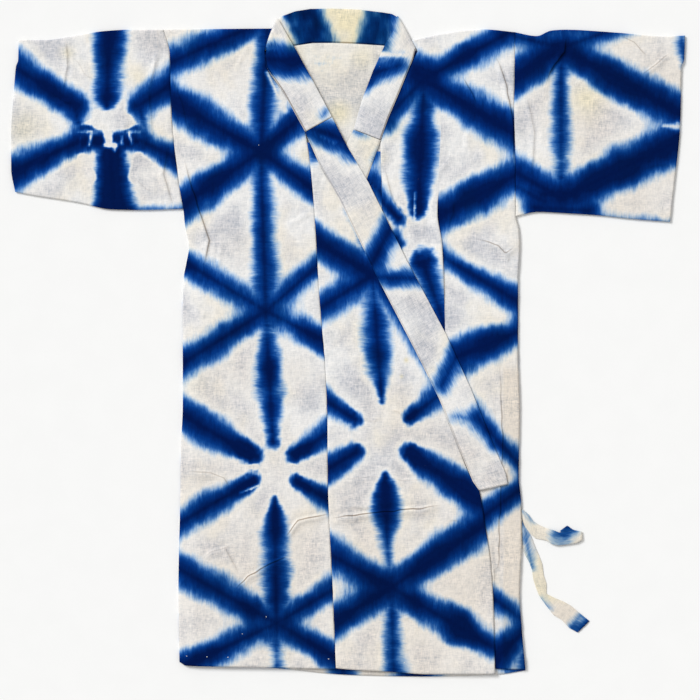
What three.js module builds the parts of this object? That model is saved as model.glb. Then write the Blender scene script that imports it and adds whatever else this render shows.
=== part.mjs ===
// A baby's one-width cotton kimono (hitotsumi), laid flat on its back, wearer's right front over the left.
// Millimetres. +X is the wearer's left, +Y runs from hem to neck, +Z is up, away from the surface it lies on.
// One width of cloth makes the back and, slit up the middle and folded over the shoulders, both fronts.
// Two sleeves are tubes, two tapered panels (okumi) widen the fronts, and a folded band makes the collar,
// with a second band (over-collar) wrapped round it at the neck. Two flat ties come out of the left side seam.
import * as THREE from "three";

// ---- Driving dimensions ----
const CLOTH = 1.0; // wall of one layer of cloth
const SEAM_GAP = 0.4; // left between two pieces along a seam that runs up and down the garment
const SLANT_GAP = 0.5; // the same along the slanting seams of the collar, measured along X
const AIR = 0.8; // slack between the back and the front that lies on it
const LAY_GAP = 0.3; // left between a piece and the one that lies on it
const COLLAR_BAND = 1.4; // folded collar, pressed flat
const OVER_COLLAR_BAND = 1.6; // over-collar wrapped round the collar
const TIE = 1.0; // a tie, sewn as a flat tube
const SHOULDER_RAMP = 17; // in this distance from its outer edges the right front rises onto the left one
const ROW_STEP = 24; // the longest stretch between two rows of a panel
const LEAST_STEP = 1.5; // the shortest
const BEND_STEPS = 5; // flat faces round the half circle of a fold
const BENDS_STRIP_STEPS = 1; // rows between the neck's corner and the bend at the shoulder

// ---- Heights of the middles of the layers ----
const BACK_Z = CLOTH / 2;
const FRONT_Z = CLOTH + AIR + CLOTH / 2;
const UNDER_COLLAR_Z = CLOTH + AIR + COLLAR_BAND / 2;
const LAPPED_FLOOR = CLOTH + AIR + COLLAR_BAND + LAY_GAP;
const LAPPED_Z = LAPPED_FLOOR + CLOTH / 2;
const LAPPED_COLLAR_Z = LAPPED_FLOOR + COLLAR_BAND / 2;
const NECK_BACK_Z = OVER_COLLAR_BAND / 2;
const NECK_RIGHT_Z = LAPPED_FLOOR + OVER_COLLAR_BAND / 2;
const NECK_LEFT_Z = CLOTH + AIR + OVER_COLLAR_BAND / 2;
const NECK_LEFT_TURN_Z = NECK_LEFT_Z + 0.4; // a little higher where it turns over the shoulder

// ---- Reading tables ----
const table = (columns, ...rows) =>
  rows.map((row) => Object.fromEntries(columns.map((name, k) => [name, row[k]])));

// Column `to` as a function of column `from`, straight between the rows and level beyond them.
function reader(rows, from, to) {
  const sorted = [...rows].sort((a, b) => a[from] - b[from]);
  return (at) => {
    if (at <= sorted[0][from]) return sorted[0][to];
    for (let k = 1; k < sorted.length; k++) {
      const [a, b] = [sorted[k - 1], sorted[k]];
      if (at <= b[from]) return THREE.MathUtils.mapLinear(at, a[from], b[from], a[to], b[to]);
    }
    return sorted.at(-1)[to];
  };
}
const ease = (t) => THREE.MathUtils.smoothstep(t, 0, 1);
const mix = THREE.MathUtils.lerp;

// ---- Outlines of the body ----
const ARMHOLE_RIGHT = table(["y", "x"], [297.1, -175], [274, -169.3], [224, -168], [154, -161.1], [127, -156.5]);
const ARMHOLE_LEFT = table(["y", "x"], [294.8, 158.7], [224, 157.5], [160, 159], [120, 159]);
const SIDE_RIGHT = table(
  ["y", "x"],
  ...ARMHOLE_RIGHT.map((row) => [row.y, row.x]),
  [111, -154.8], [92, -151], [75, -153.7], [62, -156], [28, -157], [-58, -157], [-98, -158.6],
  [-151, -159.4], [-232, -161.1], [-303, -160.1],
);
const SIDE_LEFT = table(
  ["y", "x"],
  ...ARMHOLE_LEFT.map((row) => [row.y, row.x]),
  [109, 161.8], [92, 162.8], [58, 161.2], [-7, 161.2], [-66, 162.8], [-126, 161.8], [-152, 164.2],
  [-188, 164.7], [-237, 162.8], [-271, 164.7], [-310, 168.2],
);
const SHOULDER = table(
  ["x", "y"],
  [-175, 297.1], [-72, 298.3], [62, 287], [86, 292.7], [108, 296], [129, 297.4], [158, 294.8],
);
const BACK_HEM = table(["x", "y"], [-160, -303.5], [-71, -309], [2, -315.4], [76, -316.9], [139, -315.2], [168, -311]);
const FRONT_HEM = table(["x", "y"], [-160, -302.7], [-154, -306.3], [-71, -308], [-12, -309.2], [14, -307], [168, -310]);

// The collar turns over each shoulder along a straight fold, from the neck's corner up to the band's top edge.
const NECK_CORNER_Y = 276.6;
const NECK_END = { right: 200, left: 191.5 }; // y where the okumi's seam leaves the neckline
const FOLD_RIGHT = { low: new THREE.Vector2(-80.6, NECK_CORNER_Y), high: new THREE.Vector2(-68.6, 307.6) };
const FOLD_LEFT = { low: new THREE.Vector2(66, NECK_CORNER_Y), high: new THREE.Vector2(47.7, 310.5) };
// From the neck's corner down the neckline, then down the seam between front and okumi.
const INNER_RIGHT = table(
  ["y", "x"],
  [NECK_CORNER_Y, -80.6], [261.4, -77.7], [237.3, -61.4], [NECK_END.right, -40.8], [135.6, -33], [50, -27.7], [-58, -20.1],
  [-134, -19.2], [-232, -14.8], [-310, -11.6],
);
const INNER_LEFT = table(
  ["y", "x"],
  [NECK_CORNER_Y, 66], [259.6, 57.4], [238.4, 48.8], [212.9, 38], [NECK_END.left, 30.6], [135.6, 31.9], [40.6, 28.3],
  [-54, 22.6], [-150, 17.9], [-310, 14.1],
);
// The back's neckline, which the collar's seam edge follows.
const BACK_NECK = table(
  ["x", "y"],
  [-80.6, NECK_CORNER_Y], [-51, 282], [-33.5, 284.6], [-15.4, 284.7], [9, 283.8], [33, 282.2], [50, 279.8],
  [66, NECK_CORNER_Y],
);

// ---- Outlines of the okumi ----
const COLLAR_SEAM_RIGHT = table(
  ["y", "x"],
  [199, -40.4], [169.3, -27.5], [135.6, -8.1], [62.7, 27.2], [-6.9, 63.2], [-53.4, 86.3], [-99, 104.5],
  [-132, 118.4], [-140, 124.2],
);
const OKUMI_EDGE_RIGHT = table(["y", "x"], [-140, 124.2], [-168, 129], [-210, 135.3], [-246, 137.6], [-315, 139.3]);
const OKUMI_HEM_RIGHT = table(["x", "y"], [-12, -308.6], [2, -309.9], [43, -312.2], [76, -314.4], [140, -314.4]);
const COLLAR_SEAM_LEFT = table(["y", "x"], [190.6, 30], [154.7, 17.4], [97, -7], [16, -41], [-62, -74], [-140, -106]);
const OKUMI_EDGE_LEFT = table(["y", "x"], [-140, -106], [-210, -118], [-282, -122], [-310, -123]);
const OKUMI_HEM_LEFT = table(["x", "y"], [-123, -307], [15, -307]);
const OKUMI_TIP = 9; // the point starts this far below the collar's seam, where it is wide enough to sew

// ---- Outlines of the sleeves, s running along the sleeve and y across it ----
const SLEEVE_RIGHT = {
  armhole: ARMHOLE_RIGHT,
  cuff: table(["y", "x"], [288, -312.7], [268, -313.2], [262, -315.3], [241, -317], [198, -319.8], [165, -319.8], [143, -316]),
  top: table(["x", "y"], [-312.7, 287.4], [-288, 287.4], [-263, 290.7], [-231, 295.9], [-210, 297.1], [-174, 297.1]),
  bottom: table(["x", "y"], [-316, 143.2], [-303, 140.7], [-254, 132.8], [-225, 126.6], [-195, 126], [-157, 127.2]),
};
const SLEEVE_LEFT = {
  armhole: ARMHOLE_LEFT,
  cuff: table(["y", "x"], [292, 319.8], [268, 318.7], [262, 316.2], [224, 315.6], [198, 314.5], [167, 311.3], [139, 308.1], [114, 305.3]),
  top: table(["x", "y"], [158, 294.8], [179, 291.2], [193, 296.4], [205, 297.2], [256, 294.3], [299, 290.7], [320, 291.7]),
  bottom: table(["x", "y"], [159, 120], [180, 124.2], [214, 122.5], [237, 121], [267, 117.8], [306, 114.7]),
};
const SLEEVE_STATIONS = 13;
const SLEEVE_PUFF = 0.7; // how much higher the middle of a sleeve's upper layer lies than its ends

// ---- The tuck in the left front: the cloth rises to an edge and drops steeply on the wearer's left ----
const TUCK = table(
  ["y", "x", "height"],
  [277, 92, 0], [150, 85.1, 0], [122, 84.4, 1.6], [93, 88.7, 1.6], [50, 90.6, 1.4], [30, 91.1, 0.4], [10, 91.4, 0],
  [-310, 94, 0],
);
const TUCK_PROFILE = table(["from_edge", "share"], [-16, 0.2], [-7, 0.75], [0, 1], [1.3, 0]);

// ---- Sections of the collar bands: the seam edge and the free edge, and the height of the middle ----
const BAND = ["seam_x", "seam_y", "free_x", "free_y", "z"];
const COLLAR_RIGHT = table(
  BAND,
  [-40.6, 199.6, -15.2, 213.8, LAPPED_COLLAR_Z],
  [-27.5, 169.3, 0.3, 184, LAPPED_COLLAR_Z],
  [-8.1, 135.6, 19.2, 152, LAPPED_COLLAR_Z],
  [27.2, 62.7, 54.8, 79.5, LAPPED_COLLAR_Z],
  [63.2, -6.9, 91.8, 10, LAPPED_COLLAR_Z],
  [86.3, -53.4, 115.6, -42, LAPPED_COLLAR_Z],
  [104.5, -99, 134.6, -89.5, LAPPED_COLLAR_Z],
  [118.4, -132, 149.5, -124.5, LAPPED_COLLAR_Z],
  [124.2, -140, 151.2, -134.2, LAPPED_COLLAR_Z],
);
const COLLAR_LEFT = table(
  BAND,
  [30.7, 192.1, 5, 202.2, UNDER_COLLAR_Z],
  [17.4, 154.7, -10.5, 169, UNDER_COLLAR_Z],
  [-7, 97, -34.7, 108.6, UNDER_COLLAR_Z],
  [-41, 16, -68.7, 27.6, UNDER_COLLAR_Z],
  [-74, -62, -101.7, -50.4, UNDER_COLLAR_Z],
  [-106, -140, -132, -128.4, UNDER_COLLAR_Z],
);
const NECK_FRONT_RIGHT = table(
  BAND,
  [-40.8, 200, -15.4, 214.2, NECK_RIGHT_Z],
  [-61.4, 237.3, -36, 252.9, NECK_RIGHT_Z],
  [-77.7, 261.4, -48.5, 276, NECK_RIGHT_Z],
  [-79.3, 270, -57.5, 291, NECK_RIGHT_Z],
);
const NECK_BACK = table(
  BAND,
  [-67.4, 279.3, -62.5, 310.2, NECK_BACK_Z],
  [-51, 282, -50.5, 314.7, NECK_BACK_Z],
  [-33.5, 284.6, -36, 317, NECK_BACK_Z],
  [-15.4, 284.7, -15, 317.3, NECK_BACK_Z],
  [9, 283.8, 10, 316.3, NECK_BACK_Z],
  [33, 282.2, 33, 313.6, NECK_BACK_Z],
  [50, 279.8, 41.5, 312.2, NECK_BACK_Z],
);
const NECK_FRONT_LEFT = table(
  BAND,
  [61.4, 269, 44.5, 298.5, NECK_LEFT_TURN_Z],
  [57.4, 259.6, 35, 283.2, NECK_LEFT_TURN_Z],
  [48.8, 238.4, 23.5, 257.8, NECK_LEFT_Z],
  [38, 212.9, 12.5, 228.7, NECK_LEFT_Z],
  [30.9, 192.5, 5.2, 202.6, NECK_LEFT_Z],
);
const FOLD_RISE = 2.1; // the collar's fold starts this far above the neck's corner, clear of the back
const BAND_STRIPS = 4; // strips across a band
const BAND_CROWN = 0.15; // how much fuller a band is along its middle

// ---- Sections of the ties, which come out of the side seam between y -157 and y -181 ----
const TIE_Z = TIE / 2;
const TIE_TURN_Z = TIE_Z + 1.8; // the end of the upper tie lies on its own folded-back tip
const TIE_UPPER = table(
  BAND,
  [164.6, -166.2, 164.6, -157.2, TIE_Z],
  [167.7, -173.3, 171.5, -163, TIE_Z],
  [173.8, -182.2, 176, -169.5, TIE_Z],
  [178, -185.9, 181, -172.8, TIE_Z],
  [187.5, -187.4, 188, -176, TIE_Z + 0.6],
  [193, -190.8, 194.5, -177.8, TIE_TURN_Z],
  [198.6, -192.4, 200.1, -180, TIE_TURN_Z],
  [209.1, -191.1, 208.5, -180, TIE_TURN_Z],
  [216.6, -190, 215.5, -178.8, TIE_TURN_Z],
  [221.2, -187.6, 220.8, -179.2, TIE_TURN_Z],
);
const TIE_TIP = table(
  BAND,
  [214.5, -186, 213.6, -177.6, TIE_Z],
  [208.8, -185, 208.1, -173.6, TIE_Z],
  [202.6, -184, 201.4, -178.4, TIE_Z],
);
const TIE_LOWER = table(
  BAND,
  [164.9, -181, 164.95, -168.3, TIE_Z],
  [165.2, -186, 167.1, -173.6, TIE_Z],
  [165.4, -190.5, 170.2, -178.1, TIE_Z],
  [166, -195.5, 173.4, -182.9, TIE_Z],
  [168.5, -202.5, 177.2, -193, TIE_Z],
  [171.9, -208.5, 181, -201.8, TIE_Z],
  [174.5, -215.5, 184.2, -210, TIE_Z],
  [175.7, -224.5, 185.6, -220.7, TIE_Z],
  [178.1, -232, 188.3, -229, TIE_Z],
  [181.4, -240.4, 188.2, -238.4, TIE_Z],
  [188.5, -250.3, 196, -242.4, TIE_Z],
  [195, -258.7, 204, -245.6, TIE_Z],
  [202.5, -263, 211.2, -249.5, TIE_Z],
  [210, -270.9, 219.5, -256.5, TIE_Z],
  [218, -275.2, 229.2, -264.3, TIE_Z],
);

// ---- Making closed walls from grids of points ----
const vector = (x, y, z) => new THREE.Vector3(x, y, z);

// The unit normal at each point of a grid, from the faces round it. A grid may have holes (null) and wrap in j.
function gridNormals(points, used, wrap) {
  const normals = points.map((row) => row.map((p) => p && vector(0, 0, 0)));
  eachCell(points, used, wrap, (corners, places) => {
    const across = corners[2].clone().sub(corners[0]);
    const face = across.cross(corners[3].clone().sub(corners[1]));
    for (const [j, i] of places) normals[j][i].add(face);
  });
  for (const row of normals) for (const n of row) n?.normalize();
  return normals;
}

function eachCell(points, used, wrap, visit) {
  const rows = points.length;
  for (let j = 0; j < (wrap ? rows : rows - 1); j++)
    for (let i = 0; i < points[0].length - 1; i++) {
      if (!used(j, i)) continue;
      const k = (j + 1) % rows;
      const places = [[j, i], [j, i + 1], [k, i + 1], [k, i]];
      visit(places.map(([a, b]) => points[a][b]), places);
    }
}

// A wall of the given thickness, half on each side of the grid, with its rims closed.
function wall(points, thickness, { used = () => true, wrap = false } = {}) {
  const normals = gridNormals(points, used, wrap);
  const columns = points[0].length;
  const position = [];
  for (const side of [1, -1])
    points.forEach((row, j) =>
      row.forEach((p, i) => {
        const at = p ? p.clone().addScaledVector(normals[j][i], (side * thickness) / 2) : vector(0, 0, 0);
        position.push(...at.toArray());
      }),
    );
  const under = points.length * columns;
  const index = [];
  const quad = (a, b, c, d) => index.push(a, b, c, a, c, d);
  const rims = new Map();
  eachCell(points, used, wrap, (_, places) => {
    const [a, b, c, d] = places.map(([j, i]) => j * columns + i);
    quad(a, b, c, d);
    quad(under + d, under + c, under + b, under + a);
    for (const [from, to] of [[a, b], [b, c], [c, d], [d, a]])
      if (!rims.delete(`${to} ${from}`)) rims.set(`${from} ${to}`, [from, to]);
  });
  for (const [from, to] of rims.values()) quad(from, under + from, under + to, to);
  return new THREE.BufferGeometry()
    .setAttribute("position", new THREE.Float32BufferAttribute(position, 3))
    .setIndex(index);
}

// Levels from one end to the other that include each of the given stops, with no step over ROW_STEP.
function levels(start, end, ...stops) {
  const [low, high] = [Math.min(start, end), Math.max(start, end)];
  const sorted = [low];
  for (const stop of stops.flat().sort((a, b) => a - b))
    if (stop > sorted.at(-1) + LEAST_STEP && stop < high - LEAST_STEP) sorted.push(stop);
  sorted.push(high);
  const made = [low];
  for (let k = 1; k < sorted.length; k++) {
    const [from, to] = [sorted[k - 1], sorted[k]];
    const steps = Math.ceil((to - from) / ROW_STEP);
    for (let step = 1; step <= steps; step++) made.push(mix(from, to, step / steps));
  }
  return start < end ? made : made.reverse();
}
const ys = (rows) => rows.map((row) => row.y);

// ---- Body: back, shoulders and both fronts ----
const RIGHT_COLUMNS = 8;
const NECK_COLUMNS = 7;
const LEFT_SHARES = [0, 0.35, 0.7]; // from the inner edge to the tuck
const LEFT_OUTER_SHARES = [0.2, 0.45, 0.72, 1]; // from the tuck to the side
const HEM_ROWS = 4;

const sideRight = reader(SIDE_RIGHT, "y", "x");
const sideLeft = reader(SIDE_LEFT, "y", "x");
const innerRight = reader(INNER_RIGHT, "y", "x");
const innerLeft = reader(INNER_LEFT, "y", "x");
const backNeck = reader(BACK_NECK, "x", "y");
const shoulder = reader(SHOULDER, "x", "y");
const tuckX = reader(TUCK, "y", "x");
const tuckHeight = reader(TUCK, "y", "height");

// X of the collar's fold at height y on the page, above the neck's corner.
const foldX = ({ low, high }, y) => THREE.MathUtils.mapLinear(y, low.y, high.y, low.x, high.x);

const innerGap = (y, neckEnd) => (y >= neckEnd ? SLANT_GAP : SEAM_GAP / 2);

// X of each column of the right front (or of its part of the back) at y.
function rightColumns(y) {
  const edge = y > FOLD_RIGHT.low.y ? foldX(FOLD_RIGHT, y) : innerRight(y);
  const inner = edge - innerGap(y, NECK_END.right);
  const outer = sideRight(y) + SEAM_GAP / 2;
  return Array.from({ length: RIGHT_COLUMNS + 1 }, (_, i) => mix(outer, inner, i / RIGHT_COLUMNS));
}

function leftColumns(y) {
  const neckEdge = y > FOLD_LEFT.low.y ? foldX(FOLD_LEFT, y) : innerLeft(y);
  const inner = neckEdge + innerGap(y, NECK_END.left);
  const outer = sideLeft(y) - SEAM_GAP / 2;
  const edge = tuckX(y);
  const [first, last] = [edge + TUCK_PROFILE[0].from_edge, edge + TUCK_PROFILE.at(-1).from_edge];
  return [
    ...LEFT_SHARES.map((share) => mix(inner, first, share)),
    ...TUCK_PROFILE.map((row) => edge + row.from_edge),
    ...LEFT_OUTER_SHARES.map((share) => mix(last, outer, share)),
  ];
}

// Height of the middle of the right front, which rises from its outer edges onto what it covers.
const lappedZ = (x, y) =>
  mix(FRONT_Z, LAPPED_Z, ease((x - sideRight(y)) / SHOULDER_RAMP) * ease((shoulder(x) - y) / SHOULDER_RAMP));

function leftFrontZ(x, y) {
  const share = reader(TUCK_PROFILE, "from_edge", "share")(x - tuckX(y));
  const before = x < tuckX(y) + TUCK_PROFILE[0].from_edge - 1;
  return FRONT_Z + (before ? 0 : share * tuckHeight(y));
}

function bodyGrid() {
  const corner = NECK_CORNER_Y;
  const leftCount = leftColumns(0).length;
  const columns = RIGHT_COLUMNS + NECK_COLUMNS + leftCount;
  const cornerRow = [
    ...rightColumns(corner),
    ...Array.from({ length: NECK_COLUMNS - 1 }, (_, k) =>
      mix(rightColumns(corner).at(-1), leftColumns(corner)[0], (k + 1) / NECK_COLUMNS)),
    ...leftColumns(corner),
  ];
  const isRight = (i) => i <= RIGHT_COLUMNS;
  const isLeft = (i) => i >= RIGHT_COLUMNS + NECK_COLUMNS;
  const rows = [];

  // The back, from hem to neckline.
  const backHem = reader(BACK_HEM, "x", "y");
  const backLevels = levels(-270, corner, ys(ARMHOLE_RIGHT), ys(ARMHOLE_LEFT));
  const outerX = (y, i) => {
    const share = (cornerRow[i] - sideRight(corner)) / (sideLeft(corner) - sideRight(corner));
    return mix(sideRight(y), sideLeft(y), share);
  };
  for (let k = 0; k < HEM_ROWS - 1; k++)
    rows.push(cornerRow.map((x, i) => {
      const y = mix(backHem(outerX(-300, i)), -270, k / (HEM_ROWS - 1));
      return vector(outerX(y, i), y, BACK_Z);
    }));
  const topLevel = (x, i) => (isRight(i) || isLeft(i) ? corner : backNeck(x) - SEAM_GAP);
  const bendStart = 60; // below the top by this much, the rows begin to follow the neckline
  for (const y of backLevels)
    rows.push(cornerRow.map((x, i) => {
      const pull = Math.max(0, (y - (corner - bendStart)) / bendStart);
      return vector(outerX(y, i), y + pull * (topLevel(x, i) - corner), BACK_Z);
    }));
  const lastBack = rows.length - 1;

  // The shoulders: up the back, round the fold and down the front, in the same columns.
  const radius = (FRONT_Z - BACK_Z) / 2;
  const foldInset = radius + CLOTH / 2;
  const across = (y, i) => (isRight(i) ? rightColumns(y)[i] : leftColumns(y)[i - RIGHT_COLUMNS - NECK_COLUMNS]);
  const shoulderPoint = (i, rise, z) => {
    const x = across(corner, i);
    const top = shoulder(x) - foldInset;
    const y = mix(corner, top, Math.min(rise, 1)) + Math.max(0, rise - 1);
    return vector(across(y, i), y, z);
  };
  const pushShoulderRow = (rise, z) =>
    rows.push(cornerRow.map((_, i) => (isRight(i) || isLeft(i) ? shoulderPoint(i, rise, z) : null)));
  for (let k = 1; k <= BENDS_STRIP_STEPS + 1; k++) pushShoulderRow(k / (BENDS_STRIP_STEPS + 1), BACK_Z);
  for (let k = 1; k < BEND_STEPS; k++) {
    const turn = (Math.PI * k) / BEND_STEPS;
    pushShoulderRow(1 + radius * Math.sin(turn), BACK_Z + radius * (1 - Math.cos(turn)));
  }
  for (let k = BENDS_STRIP_STEPS + 1; k >= 1; k--) pushShoulderRow(k / (BENDS_STRIP_STEPS + 1), FRONT_Z);

  // The fronts, from the neck's corner to the hem.
  const frontHem = reader(FRONT_HEM, "x", "y");
  const stops = [INNER_RIGHT, INNER_LEFT, ARMHOLE_RIGHT, ARMHOLE_LEFT, TUCK].flatMap(ys);
  const frontLevels = levels(corner, -232, stops);
  const pushFrontRow = (levelAt) =>
    rows.push(cornerRow.map((_, i) => {
      if (!isRight(i) && !isLeft(i)) return null;
      const y = levelAt(across(-300, i));
      const x = across(y, i);
      return vector(x, y, isRight(i) ? lappedZ(x, y) : leftFrontZ(x, y));
    }));
  for (const y of frontLevels) pushFrontRow(() => y);
  for (let k = 1; k <= HEM_ROWS; k++) pushFrontRow((x) => mix(-232, frontHem(x), k / HEM_ROWS));

  // The right front's shoulder rows rise with it, so that the strip runs into the panel.
  for (const row of rows.slice(lastBack + 1))
    for (const p of row.slice(0, RIGHT_COLUMNS + 1))
      if (p && p.z >= FRONT_Z) p.z = lappedZ(p.x, p.y);
  const used = (j, i) => j < lastBack || i < RIGHT_COLUMNS || i >= RIGHT_COLUMNS + NECK_COLUMNS;
  return { points: rows, used, columns };
}

// ---- Panels between two edges ----
const OKUMI_COLUMNS = 7;
function okumiGrid({ top, seam, collarSeam, edge, hem, z }) {
  const seamX = reader(seam, "y", "x");
  const collarX = reader([...collarSeam, ...edge.slice(1)], "y", "x");
  const hemY = reader(hem, "x", "y");
  const toWearersLeft = Math.sign(collarX(0) - seamX(0));
  const row = (levelAt) =>
    Array.from({ length: OKUMI_COLUMNS + 1 }, (_, i) => {
      const share = i / OKUMI_COLUMNS;
      const y = levelAt(mix(seamX(-300), collarX(-300), share));
      const from = seamX(y) + (toWearersLeft * SEAM_GAP) / 2;
      const to = collarX(y) - toWearersLeft * SLANT_GAP;
      return vector(mix(from, to, share), y, z);
    });
  const rows = levels(top, -232, ys(seam), ys(collarSeam), ys(edge)).map((y) => row(() => y));
  for (let k = 1; k <= HEM_ROWS; k++) rows.push(row((x) => mix(-232, hemY(x), k / HEM_ROWS)));
  return rows;
}

// ---- Sleeves: flattened tubes, open at the armhole and the cuff ----
function sleeveGrid({ armhole, cuff, top, bottom }) {
  const [armholeX, cuffX] = [reader(armhole, "y", "x"), reader(cuff, "y", "x")];
  const [topY, bottomY] = [reader(top, "x", "y"), reader(bottom, "x", "y")];
  const outward = Math.sign(armhole[0].x);
  const radius = (FRONT_Z - BACK_Z) / 2;
  const inset = radius + CLOTH / 2;
  const [low, high] = [bottomY(armhole.at(-1).x) + inset, topY(armhole[0].x) - inset];
  const shares = levels(low, high, ys(armhole)).map((y) => (y - low) / (high - low));
  const around = [
    ...shares.map((share) => ({ share, z: BACK_Z, beyond: 0, upper: false })),
    ...bend(0, 1),
    ...[...shares].reverse().map((share) => ({ share, z: FRONT_Z, beyond: 0, upper: true })),
    ...bend(Math.PI, -1),
  ];
  function bend(start, side) {
    return Array.from({ length: BEND_STEPS - 1 }, (_, k) => {
      const turn = start + (Math.PI * (k + 1)) / BEND_STEPS;
      const z = BACK_Z + radius * (1 - Math.cos(turn));
      return { share: side > 0 ? 1 : 0, z, beyond: radius * Math.sin(turn), upper: false };
    });
  }
  return around.map(({ share, z, beyond, upper }) =>
    Array.from({ length: SLEEVE_STATIONS }, (_, k) => {
      const s = k / (SLEEVE_STATIONS - 1);
      let [x, y] = [mix(armhole[0].x, cuff[0].x, s), 0];
      for (let pass = 0; pass < 4; pass++) {
        y = mix(bottomY(x) + inset, topY(x) - inset, share) + beyond;
        x = mix(armholeX(y) + (outward * SEAM_GAP) / 2, cuffX(y), s);
      }
      const puff = upper ? SLEEVE_PUFF * Math.sin(Math.PI * s) * Math.sin(Math.PI * share) : 0;
      return vector(x, y, z + puff);
    }),
  );
}

// ---- Bands: collars, over-collar and ties, from sections that may turn over ----
// A section holds its two edges and the direction of its outer face.
const section = (a, b, out) => ({ a, b, out });
const UP = vector(0, 0, 1);
const DOWN = vector(0, 0, -1);

const bandSections = (rows, out) =>
  rows.map((row) => section(vector(row.seam_x, row.seam_y, row.z), vector(row.free_x, row.free_y, row.z), out));

// Sections round a fold along the line low to high, from height startZ to endZ, bulging to the side of `outward`.
// The bend's outer face just reaches the line.
function foldSections(low, high, outward, startZ, endZ, thickness) {
  const radius = Math.abs(endZ - startZ) / 2;
  const middle = (startZ + endZ) / 2;
  const way = Math.sign(endZ - startZ);
  return Array.from({ length: BEND_STEPS + 1 }, (_, k) => {
    const turn = (Math.PI * k) / BEND_STEPS;
    const reach = radius * Math.sin(turn) - radius - thickness / 2;
    const z = middle - way * radius * Math.cos(turn);
    const at = (corner) => vector(corner.x + outward.x * reach, corner.y + outward.y * reach, z);
    const out = vector(outward.x * Math.sin(turn), outward.y * Math.sin(turn), -way * Math.cos(turn));
    return section(at(low), at(high), out);
  });
}

function collarFold({ low, high }, startZ, endZ) {
  const along = high.clone().sub(low).normalize();
  const side = Math.sign(low.x);
  const outward = new THREE.Vector2(along.y * side, -along.x * side);
  return foldSections(low.clone().addScaledVector(along, FOLD_RISE), high, outward, startZ, endZ, OVER_COLLAR_BAND);
}

// A closed solid through the sections, a little fuller along the middle of the band.
function band(sections, thickness, crown = 0) {
  const position = [];
  const ring = 2 * (BAND_STRIPS + 1);
  for (const { a, b, out } of sections)
    for (const side of [1, -1])
      for (let k = 0; k <= BAND_STRIPS; k++) {
        const share = (side > 0 ? k : BAND_STRIPS - k) / BAND_STRIPS;
        const half = thickness / 2 + (side > 0 ? crown * Math.sin(Math.PI * share) : 0);
        position.push(...a.clone().lerp(b, share).addScaledVector(out, side * half).toArray());
      }
  const index = [];
  const at = (s, k) => s * ring + (k % ring);
  for (let s = 0; s < sections.length - 1; s++)
    for (let k = 0; k < ring; k++)
      index.push(at(s, k), at(s, k + 1), at(s + 1, k + 1), at(s, k), at(s + 1, k + 1), at(s + 1, k));
  const last = sections.length - 1;
  for (let k = 0; k < BAND_STRIPS; k++) {
    const back = ring - 1 - k;
    index.push(at(0, k), at(0, back), at(0, back - 1), at(0, k), at(0, back - 1), at(0, k + 1));
    index.push(at(last, k), at(last, k + 1), at(last, back - 1), at(last, k), at(last, back - 1), at(last, back));
  }
  const made = new THREE.BufferGeometry()
    .setAttribute("position", new THREE.Float32BufferAttribute(position, 3))
    .setIndex(index);
  return signedVolume(made) < 0 ? turnedInsideOut(made) : made;
}

function signedVolume(geometry) {
  const [index, position] = [geometry.index.array, geometry.attributes.position];
  const corner = (k) => new THREE.Vector3().fromBufferAttribute(position, index[k]);
  let sum = 0;
  for (let k = 0; k < index.length; k += 3) sum += corner(k).dot(corner(k + 1).cross(corner(k + 2))) / 6;
  return sum;
}

function turnedInsideOut(geometry) {
  const index = geometry.index.array;
  for (let k = 0; k < index.length; k += 3) [index[k + 1], index[k + 2]] = [index[k + 2], index[k + 1]];
  return geometry;
}

function overCollarSections() {
  const right = bandSections(NECK_FRONT_RIGHT, UP);
  const back = bandSections(NECK_BACK, DOWN);
  const left = bandSections(NECK_FRONT_LEFT, UP);
  return [
    ...right,
    ...collarFold(FOLD_RIGHT, NECK_RIGHT_Z, NECK_BACK_Z),
    ...back,
    ...collarFold(FOLD_LEFT, NECK_BACK_Z, NECK_LEFT_TURN_Z),
    ...left,
  ];
}

function upperTieSections() {
  const run = bandSections(TIE_UPPER, UP);
  const end = run.at(-1);
  const reach = (TIE_TURN_Z - TIE_Z) / 2 + TIE / 2;
  const corner = (p) => new THREE.Vector2(p.x + reach, p.y);
  const turn = foldSections(corner(end.a), corner(end.b), new THREE.Vector2(1, 0), TIE_TURN_Z, TIE_Z, TIE);
  return [...run, ...turn.slice(1), ...bandSections(TIE_TIP, DOWN)];
}

// ---- The garment ----
const COTTON = { roughness: 0.9, metalness: 0 };
const DYED = new THREE.Color(0.36, 0.45, 0.62);
const UNDYED = new THREE.Color(0.88, 0.86, 0.81);

function piece(name, geometry, color) {
  const made = new THREE.Mesh(geometry, new THREE.MeshStandardMaterial({ color, ...COTTON }));
  made.name = name;
  return made;
}

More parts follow.
